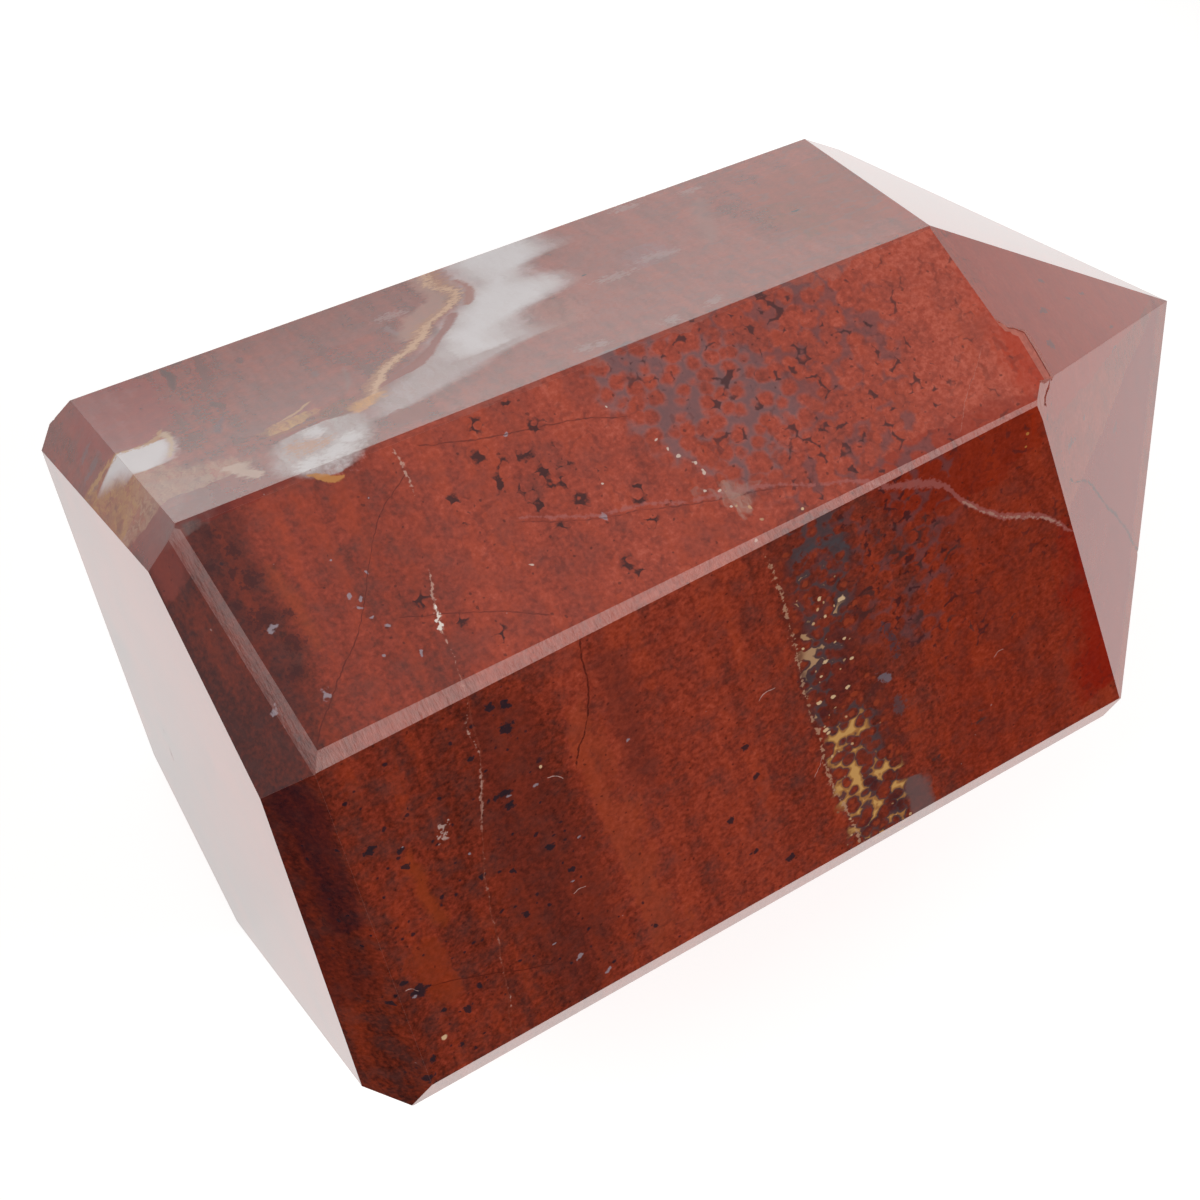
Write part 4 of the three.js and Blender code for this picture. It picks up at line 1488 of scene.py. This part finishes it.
@dataclass(frozen=True)
class Studio:
    """The light table, the softboxes and the grey of the room."""

    floor_width: float = 6000.0
    # The paper lies just below the stone, so that the two don't share a plane.
    floor_gap: float = 0.02
    room_grey: float = 0.45
    # A black card lies in front of the stone, and a grey one behind it, both out of the picture: only
    # the stone's gloss shows them.
    card_front: float = -140.0
    card_side: float = -112.0
    card_side_front: float = -98.0
    card_reach: float = 900.0
    card_height: float = 1.0
    grey_card_near: float = 70.0
    grey_card_far: float = 170.0

    def build(self) -> list[bpy.types.Object]:
        """Sets up the floor, the cards, the lights and the world.

        Returns:
            The floor and the cards.
        """
        half = self.floor_width / 2
        paper = self.rectangle(half, -half, half)
        grey_outline = self.rectangle(self.card_reach, self.grey_card_near, self.grey_card_far)
        floor, black, grey = [
            self.sheet(name, outline, height, finish.material())
            for name, outline, height, finish in (
                ("floor", paper, -self.floor_gap, LightPad()),
                ("black_card", self.black_outline(), self.card_height, CardBoard()),
                ("grey_card", grey_outline, self.card_height, CardBoard("grey_card", "bdbdbd", graded=True)),
            )
        ]
        for card in (black, grey):
            card.visible_camera = False
            card.visible_diffuse = False
            card.visible_shadow = False
        self.light_up()
        return [floor, black, grey]

    def rectangle(self, reach: float, near: float, far: float) -> list[tuple[float, float]]:
        """Gives the corners of a sheet that reaches as far to the left as to the right."""
        return [(-reach, near), (reach, near), (reach, far), (-reach, far)]

    def black_outline(self) -> list[tuple[float, float]]:
        """Gives the corners of the black card.

        Returns:
            Its corners, in millimetres.
        """
        return [
            (-self.card_reach, -self.card_reach),
            (self.card_reach, -self.card_reach),
            (self.card_reach, self.card_front),
            (self.card_side, self.card_front),
            (self.card_side, self.card_side_front),
            (-self.card_reach, self.card_side_front),
        ]

    def sheet(
        self, name: str, outline: list[tuple[float, float]], height: float, material: bpy.types.Material
    ) -> bpy.types.Object:
        """Lays a flat sheet.

        Args:
            name: The sheet's name.
            outline: Its corners, in millimetres.
            height: How high it lies.
            material: What it is made of.

        Returns:
            The sheet's object.
        """
        mesh = bpy.data.meshes.new(name)
        corners = [(x * MM, y * MM, height * MM) for x, y in outline]
        mesh.from_pydata(corners, [], [tuple(range(len(corners)))])
        mesh.materials.append(material)
        return add_object(name, mesh)

    def light_up(self) -> None:
        """Hangs the softboxes and sets the grey of the room."""
        middle = (0.0, 0.0, 50.0)
        under_strip = (80.0, 190.0, 0.0)
        softboxes = [
            Softbox("key_softbox", (378.0, -459.0, 725.0), middle, width=420.0, height=420.0, radiance=3.6),
            Softbox("left_softbox", (-550.0, 250.0, 850.0), middle, width=800.0, height=800.0, radiance=1.6),
            Softbox(
                "back_striplight", (80.0, 190.0, 120.0), under_strip,
                width=420.0, height=50.0, radiance=2.8, spread=80.0,
            ),
        ]
        for softbox in softboxes:
            softbox.build()
        world = bpy.data.worlds.new("studio_room")
        world.use_nodes = True
        bpy.context.scene.world = world
        graph = Graph(world.node_tree)
        grey = graph.node("Background", {"Color": (1.0, 1.0, 1.0, 1.0), "Strength": self.room_grey})
        graph.node("OutputWorld", {"Surface": grey})


@dataclass(frozen=True)
class ViewingCamera:
    """The camera, high over the stone and a little in front of it."""

    place: tuple[float, float, float] = (-68.72, -99.58, 410.43)
    elevation: float = 72.75
    azimuth: float = 30.07
    roll: float = 2.65
    lens: float = 102.17
    sensor: float = 36.0
    # What is nearer or further than this is left out, in millimetres.
    nearest: float = 20.0
    furthest: float = 20000.0

    def build(self) -> bpy.types.Object:
        """Makes the scene's camera.

        Returns:
            The camera.
        """
        data = bpy.data.cameras.new("camera")
        data.lens = self.lens
        data.sensor_width = self.sensor
        data.clip_start = self.nearest * MM
        data.clip_end = self.furthest * MM
        made = add_object("camera", data)
        rise = math.radians(self.elevation)
        turn = math.radians(self.azimuth)
        level = math.cos(rise)
        forward = Vector((level * math.sin(turn), level * math.cos(turn), -math.sin(rise)))
        level_right = forward.cross(Vector((0, 0, 1))).normalized()
        level_up = level_right.cross(forward)
        roll = math.radians(self.roll)
        right = level_right * math.cos(roll) + level_up * math.sin(roll)
        up = level_up * math.cos(roll) - level_right * math.sin(roll)
        axes = Matrix((right, up, -forward)).transposed().to_4x4()
        made.matrix_world = Matrix.Translation(Vector(self.place) * MM) @ axes
        bpy.context.scene.camera = made
        bpy.context.scene.view_settings.view_transform = "Standard"
        return made


@dataclass(frozen=True)
class SharpEdge:
    """A sharp edge of the stone, with the way it faces."""

    start: Vector
    end: Vector
    outward: Vector

    def nearest(self, place: Vector) -> Vector:
        """Gives the point of the edge that is nearest to a place.

        Args:
            place: Any place, in scene units.

        Returns:
            The point, which may be an end of the edge.
        """
        point, share = intersect_point_line(place, self.start, self.end)
        if share <= 0.0:
            return self.start
        return self.end if share >= 1.0 else point


def sweep(work: bmesh.types.BMesh, rings: list[list[bmesh.types.BMVert]]) -> None:
    """Closes a row of rings to one solid shape.

    Args:
        work: The mesh that holds the rings.
        rings: Rings with the same number of corners, in order.
    """
    count = len(rings[0])
    faces = [work.faces.new(list(reversed(rings[0]))), work.faces.new(rings[-1])]
    for ring, following in zip(rings, rings[1:]):
        for index in range(count):
            beside = (index + 1) % count
            faces.append(work.faces.new((ring[index], ring[beside], following[beside], following[index])))
    bmesh.ops.recalc_face_normals(work, faces=faces)
    bmesh.ops.triangulate(work, faces=faces)


@dataclass(frozen=True)
class Chip:
    """A small shell knocked out of an edge of the stone."""

    # A point near the edge: the chip lies on the edge at the nearest point to it.
    place: tuple[float, float, float]
    # Its length along the edge, its width across it and its depth.
    length: float
    width: float
    depth: float
    # How far its corners lie in or out, as shares of its size.
    uneven: tuple[float, float] = (0.72, 1.12)

    def carve(self, waste: bmesh.types.BMesh, edges: list[SharpEdge], dice: random.Random) -> None:
        """Adds the shape of the chip to what is taken off the stone.

        Args:
            waste: The mesh of all that is taken off.
            edges: The sharp edges of the stone.
            dice: Makes its shape irregular.
        """
        place = Vector(self.place) * MM
        edge = min(edges, key=lambda edge: (edge.nearest(place) - place).length)
        middle = edge.nearest(place) + edge.outward * (0.5 * self.width - self.depth) * MM
        along = (edge.end - edge.start).normalized()
        across = edge.outward.cross(along)
        half = Vector((self.length, self.width, self.width)) * 0.5 * MM
        for vert in bmesh.ops.create_icosphere(waste, subdivisions=1, radius=1.0)["verts"]:
            size = dice.uniform(*self.uneven)
            x, y, z = vert.co
            reach = along * x * half.x + across * y * half.y + edge.outward * z * half.z
            vert.co = middle + reach * size


@dataclass(frozen=True)
class Crack:
    """An open crack: a V-shaped groove along a line on a flat."""

    flat: Flat
    # Points of the line, and the width of the groove at each.
    path: tuple[tuple[tuple[float, float, float], float], ...]
    depth: float = 0.35

    def carve(self, waste: bmesh.types.BMesh) -> None:
        """Adds the shape of the crack to what is taken off the stone.

        Args:
            waste: The mesh of all that is taken off.
        """
        outward = self.flat.facing()
        points = [Vector(point) for point, _ in self.path]
        rings = []
        for index, (point, width) in enumerate(self.path):
            ahead = points[min(index + 1, len(points) - 1)] - points[max(index - 1, 0)]
            sideways = outward.cross(ahead).normalized() * width
            lifted = points[index] + outward * self.depth
            corners = (lifted + sideways, points[index] - outward * self.depth, lifted - sideways)
            rings.append([waste.verts.new(corner * MM) for corner in corners])
        sweep(waste, rings)


@dataclass(frozen=True)
class Lip:
    """A lip beside the shoulder: there the top runs on past the facet of the point and ends in a step.

    Its rim is ground no further than a rough sloping band.
    """

    # For each row across the lip: where the band starts and where it ends, seen from above.
    rows: tuple[tuple[tuple[float, float], tuple[float, float]], ...] = (
        ((31.3, -4.3), (31.71, -4.16)),
        ((31.9, -5.9), (32.4, -5.56)),
        ((32.4, -6.5), (33.07, -6.0)),
        ((32.9, -7.3), (33.74, -6.69)),
        ((32.95, -9.6), (33.8, -9.4)),
        ((32.9, -12.3), (33.74, -12.42)),
    )
    # How far the band drops, where the lip is rooted, the slant of its step, and the way from its rim
    # down to its root in the stone.
    drop: float = 0.12
    root: float = 30.8
    step: tuple[float, float, float] = (0.36, 0.24, -0.92)
    bury: tuple[float, float, float] = (-2.0, 0.0, -2.5)
    # It is made this much too high, and then ground level with the top.
    spare: float = 0.3
    # The foot of the step lies below the facet by this share of the slant, and its root is this share
    # of the rim's.
    foot_run: float = 0.2
    foot_root: float = 0.3

    def build(self, top: tuple[Vector, Vector], facet: tuple[Vector, Vector]) -> bmesh.types.BMesh:
        """Makes the shape that is joined to the stone.

        Args:
            top: A point and the normal of the top.
            facet: A point and the normal of the facet of the point beside it.

        Returns:
            The mesh of the lip.
        """
        work = bmesh.new()
        rings = []
        for (band_x, band_y), (rim_x, rim_y) in self.rows:
            up = Vector((0.0, 0.0, self.spare)) * MM
            root = self.lift(top, self.root, band_y) + up
            rim = self.lift(top, rim_x, rim_y) - Vector((0.0, 0.0, self.drop)) * MM
            band = self.lift(top, band_x, band_y)
            band += (band - rim) * self.spare / self.drop
            foot = intersect_line_plane(rim, rim + Vector(self.step) * MM, *facet)
            foot += Vector(self.step) * self.foot_run * MM
            buried = rim + Vector(self.bury) * MM
            inside = foot + Vector(self.bury) * MM * self.foot_root
            rings.append([work.verts.new(corner) for corner in (root, band, rim, foot, inside, buried)])
        sweep(work, rings)
        return work

    def lift(self, flat: tuple[Vector, Vector], x: float, y: float) -> Vector:
        """Gives the point of a flat that lies straight over a place on the ground."""
        start = Vector((x, y, 0.0)) * MM
        return intersect_line_plane(start, start + Vector((0.0, 0.0, 1.0)), *flat)


CHIPS = (
    # By the shoulder, where the lip starts.
    Chip((31.9, -4.6, 86.1), 0.9, 0.7, 0.16),
    Chip((32.5, -5.8, 86.0), 0.8, 0.7, 0.2),
    Chip((33.2, -6.2, 85.9), 0.7, 0.6, 0.16),
    # On the edge between the two facets of the point that show.
    Chip((34.6, -11.6, 83.0), 0.7, 0.5, 0.14),
    Chip((37.1, -10.4, 79.6), 0.45, 0.4, 0.1),
    Chip((40.2, -9.1, 75.6), 0.4, 0.35, 0.08),
    Chip((43.1, -7.8, 71.6), 0.4, 0.35, 0.08),
    Chip((46.0, -6.6, 67.7), 0.35, 0.3, 0.08),
    # On the outer edge of the point.
    Chip((44.75, -24.16, 45.2), 0.9, 0.8, 0.2),
    # On the far edge of the back.
    Chip((21.9, 37.1, 50.3), 0.8, 0.6, 0.16),
    Chip((14.2, 37.6, 50.3), 0.6, 0.5, 0.12),
    Chip((10.6, 37.9, 50.3), 0.5, 0.45, 0.12),
    # On the far corner of the base.
    Chip((-57.1, 44.1, 51.9), 0.9, 0.8, 0.2),
)

CRACKS = (
    # Beside the dressed corner.
    Crack(Flat.POINT_FRONT, (
        ((34.5, -11.6, 83.3), 0.2), ((33.73, -12.54, 83.5), 0.5), ((33.0, -13.1, 84.0), 0.44),
        ((32.5, -13.7, 84.2), 0.66), ((32.2, -14.1, 84.1), 0.5), ((32.42, -14.3, 83.5), 0.14),
    ), 0.9),
    # Along the rim of the lip.
    Crack(Flat.TOP, (
        ((32.4, -5.5, 85.9), 0.06), ((33.1, -6.1, 85.8), 0.16), ((33.74, -6.9, 85.7), 0.12),
        ((33.8, -9.4, 85.7), 0.2), ((33.76, -11.2, 85.7), 0.14), ((33.7, -12.2, 85.7), 0.06),
    ), 0.25),
    # On the base.
    Crack(Flat.BASE, (
        ((-61.81, 10.42, 27.5), 0.08), ((-61.9, 9.9, 26.3), 0.26), ((-61.98, 9.32, 25.1), 0.08),
    ), 0.3),
    Crack(Flat.BASE, (
        ((-61.57, 11.92, 31.1), 0.06), ((-61.6, 11.5, 30.8), 0.2), ((-61.61, 11.18, 30.5), 0.06),
    ), 0.25),
)


class Combining(Enum):
    """What is done with a shape: it is joined to the stone, or taken off it."""

    UNION = "union"
    DIFFERENCE = "difference"


@dataclass(frozen=True)
class JasperTower:
    """The stone: the ground solid with its edges worn and chipped as polishing and handling leave them."""

    node: str = "jasper_tower"
    # Corners nearer than this are one, and flats that differ by less are one flat.
    weld: float = 0.004
    flat_angle: float = 0.6
    # The base chamfer of the top is rolled over towards the top: how far down it that starts, how far
    # it turns, and in how many steps.
    roll_start: float = 1.9
    roll_turn: float = 25.0
    roll_steps: int = 10
    # Every sharp edge is only just taken off.
    edge_round: float = 0.1
    edge_steps: int = 2
    sharp_angle: float = 12.0
    # Nicks too small to place one by one: how many, how wide they are, how long and how deep they are
    # for their width, and how near to the ends of an edge they come.
    nicks: int = 46
    nick_size: tuple[float, float] = (0.14, 0.34)
    nick_stretch: tuple[float, float] = (1.0, 2.0)
    nick_depth: float = 0.28
    nick_ends: tuple[float, float] = (0.03, 0.97)
    seed: int = 7
    # A face turned further than this from every flat, in degrees, isn't part of one.
    off_flat: float = 3.0

    def build(self) -> bpy.types.Object:
        """Makes the dressed stone in place of the plain one.

        Returns:
            The stone's object.
        """
        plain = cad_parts[self.node].data
        work = bmesh.new()
        work.from_mesh(plain)
        for face in work.faces:
            face.smooth = False
        self.tidy(work)
        self.roll_over(work)
        broken = BROKEN_STONE.material()
        made = self.piece("jasper_stone", work, broken)
        made.data.materials.append(WORN_EDGE_AND_HIGHLIGHT.material())
        for face in made.data.polygons:
            face.material_index = 1
        lip = Lip().build(self.plane(Flat.TOP), self.plane(Flat.POINT_TOP))
        self.combine(made, self.piece("lip", lip, broken), Combining.UNION)
        work = bmesh.new()
        work.from_mesh(made.data)
        # The lip stands too high, so the top is ground level again, a hair below where it was.
        top_point, top = self.plane(Flat.TOP)
        self.grind(work, top_point - top * self.weld * MM, top)
        self.tidy(work)
        edges = self.sharp_edges(work)
        self.soften(work)
        work.to_mesh(made.data)
        work.free()
        self.combine(made, self.piece("waste", self.waste(edges), broken), Combining.DIFFERENCE)
        self.divide(made)
        self.dress(made)
        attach(made, "root")
        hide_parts(self.node)
        return made

    def piece(self, name: str, work: bmesh.types.BMesh, material: bpy.types.Material) -> bpy.types.Object:
        """Makes an object of a mesh, with one material.

        Args:
            name: The object's name.
            work: The mesh, which is freed.
            material: What it is made of.

        Returns:
            The object.
        """
        mesh = bpy.data.meshes.new(name)
        work.to_mesh(mesh)
        work.free()
        mesh.materials.append(material)
        return add_object(name, mesh)

    def plane(self, flat: Flat) -> tuple[Vector, Vector]:
        """Gives a point and the normal of a flat of the plain stone.

        Args:
            flat: The flat.

        Returns:
            A point of it and its normal.
        """
        facing = flat.facing()
        face = max(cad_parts[self.node].data.polygons, key=lambda face: face.normal.dot(facing))
        return face.center.copy(), face.normal.copy()

    def tidy(self, work: bmesh.types.BMesh) -> None:
        """Makes one face of each flat.

        Args:
            work: The stone.
        """
        bmesh.ops.remove_doubles(work, verts=work.verts, dist=self.weld * MM)
        bmesh.ops.dissolve_limit(
            work, angle_limit=math.radians(self.flat_angle), verts=work.verts, edges=work.edges
        )

    def roll_over(self, work: bmesh.types.BMesh) -> None:
        """Rolls the base chamfer of the top over towards the top, in flats a few degrees apart.

        Args:
            work: The stone.
        """
        top_point, top = self.plane(Flat.TOP)
        chamfer_point, chamfer = self.plane(Flat.TOP_CHAMFER)
        edge, along = intersect_plane_plane(top_point, top, chamfer_point, chamfer)
        down = chamfer.cross(along).normalized()
        if down.dot(top) > 0.0:
            down.negate()
        bend = top.angle(chamfer)
        turn = math.radians(self.roll_turn)
        radius = self.roll_start / (math.sin(turn) - (1.0 - math.cos(turn)) / math.tan(bend)) * MM
        middle = edge + down * self.roll_start * MM - chamfer * radius
        for step in range(self.roll_steps):
            lean = turn * (step + 0.5) / self.roll_steps
            normal = chamfer * math.cos(lean) - down * math.sin(lean)
            self.grind(work, middle + normal * radius, normal)

    def grind(self, work: bmesh.types.BMesh, point: Vector, normal: Vector) -> None:
        """Takes off everything outside a plane.

        Args:
            work: The stone.
            point: A point of the plane.
            normal: The way the plane faces.
        """
        cut = bmesh.ops.bisect_plane(
            work,
            geom=[*work.verts, *work.edges, *work.faces],
            dist=ON_PLANE,
            plane_co=point,
            plane_no=normal,
            clear_outer=True,
        )
        rim = [part for part in cut["geom_cut"] if isinstance(part, bmesh.types.BMEdge)]
        bmesh.ops.contextual_create(work, geom=rim)
        bmesh.ops.recalc_face_normals(work, faces=work.faces)

    def combine(self, stone: bpy.types.Object, other: bpy.types.Object, way: Combining) -> None:
        """Joins a shape to the stone, or takes it off.

        Args:
            stone: The stone.
            other: The shape, which is used up.
            way: What is done with it.
        """
        modifier = stone.modifiers.new(way.value, "BOOLEAN")
        modifier.operation = way.name
        modifier.solver = "EXACT"
        modifier.use_self = True
        modifier.material_mode = "TRANSFER"
        modifier.object = other
        bpy.context.view_layer.update()
        finished = stone.evaluated_get(bpy.context.evaluated_depsgraph_get())
        mesh = bpy.data.meshes.new_from_object(finished)
        stone.modifiers.clear()
        stone.data = mesh
        bpy.data.objects.remove(other)

    def sharp_edges(self, work: bmesh.types.BMesh) -> list[SharpEdge]:
        """Lists the sharp edges of the stone.

        Args:
            work: The stone.

        Returns:
            Its sharp edges.
        """
        found = []
        for edge in work.edges:
            if edge.is_manifold and edge.calc_face_angle() > math.radians(self.sharp_angle):
                outward = (edge.link_faces[0].normal + edge.link_faces[1].normal).normalized()
                found.append(SharpEdge(edge.verts[0].co.copy(), edge.verts[1].co.copy(), outward))
        return found

    def waste(self, edges: list[SharpEdge]) -> bmesh.types.BMesh:
        """Makes the shape of all chips and cracks.

        Args:
            edges: The sharp edges of the stone.

        Returns:
            The mesh of what is taken off.
        """
        dice = random.Random(self.seed)
        waste = bmesh.new()
        lengths = [(edge.end - edge.start).length for edge in edges]
        nicks = []
        for edge in dice.choices(edges, lengths, k=self.nicks):
            size = dice.uniform(*self.nick_size)
            place = edge.start.lerp(edge.end, dice.uniform(*self.nick_ends)) / MM
            length = size * dice.uniform(*self.nick_stretch)
            nicks.append(Chip(tuple(place), length, size, size * self.nick_depth))
        for chip in (*CHIPS, *nicks):
            chip.carve(waste, edges, dice)
        for crack in CRACKS:
            crack.carve(waste)
        return waste

    def dress(self, stone: bpy.types.Object) -> None:
        """Gives every flat of the stone its material, and leaves chips and cracks rough.

        Args:
            stone: The stone's object.
        """
        names = [material.name for material in stone.data.materials]
        for face in stone.data.polygons:
            face.use_smooth = False
            look = self.look(face, names[face.material_index] == BROKEN_STONE.name())
            if look.name() not in names:
                stone.data.materials.append(look.material())
                names.append(look.name())
            face.material_index = names.index(look.name())

    def look(self, face: bpy.types.MeshPolygon, chipped: bool) -> Jasper:
        """Chooses the look of a face.

        Args:
            face: A face of the dressed stone.
            chipped: Whether a chip or a crack has cut it.

        Returns:
            The look of its flat, or of broken stone, or of a worn edge with a painted highlight, where it
            isn't part of one.
        """
        flat = max(Flat, key=lambda flat: face.normal.dot(flat.facing()))
        off = math.degrees(face.normal.angle(flat.facing())) > self.off_flat
        if off and chipped:
            return BROKEN_STONE
        side, polish = FINISHES[flat]
        if off and polish is not Polish.BRUSHED and flat is not Flat.TOP_CHAMFER:
            return WORN_EDGE_AND_HIGHLIGHT
        return Jasper(side, polish, side.zone(face.center.x / MM))

    def divide(self, stone: bpy.types.Object) -> None:
        """Divides the faces of the stone where two zones meet.

        Args:
            stone: The stone's object.
        """
        work = bmesh.new()
        work.from_mesh(stone.data)
        for cut in ZONE_CUTS:
            bmesh.ops.bisect_plane(
                work,
                geom=[*work.verts, *work.edges, *work.faces],
                dist=ON_PLANE,
                plane_co=(cut * MM, 0.0, 0.0),
                plane_no=(1.0, 0.0, 0.0),
            )
        work.to_mesh(stone.data)
        work.free()

    def soften(self, work: bmesh.types.BMesh) -> None:
        """Takes off all sharp edges.

        Args:
            work: The stone.
        """
        sharp = math.radians(self.sharp_angle)
        bmesh.ops.bevel(
            work,
            geom=[e for e in work.edges if e.is_manifold and e.calc_face_angle() > sharp],
            offset=self.edge_round * MM,
            segments=self.edge_steps,
            profile=0.5,
            affect="EDGES",
            clamp_overlap=True,
        )


def main() -> None:
    """Builds the scene piece by piece."""
    logging.basicConfig(level=logging.INFO, format="%(message)s")
    ViewingCamera().build()
    log.info("camera in place")
    for sheet in Studio().build():
        log.info("%s in place", sheet.name)
    stone = JasperTower().build()
    log.info("%s: %d faces", stone.name, len(stone.data.polygons))


if __name__ == "__main__":
    main()
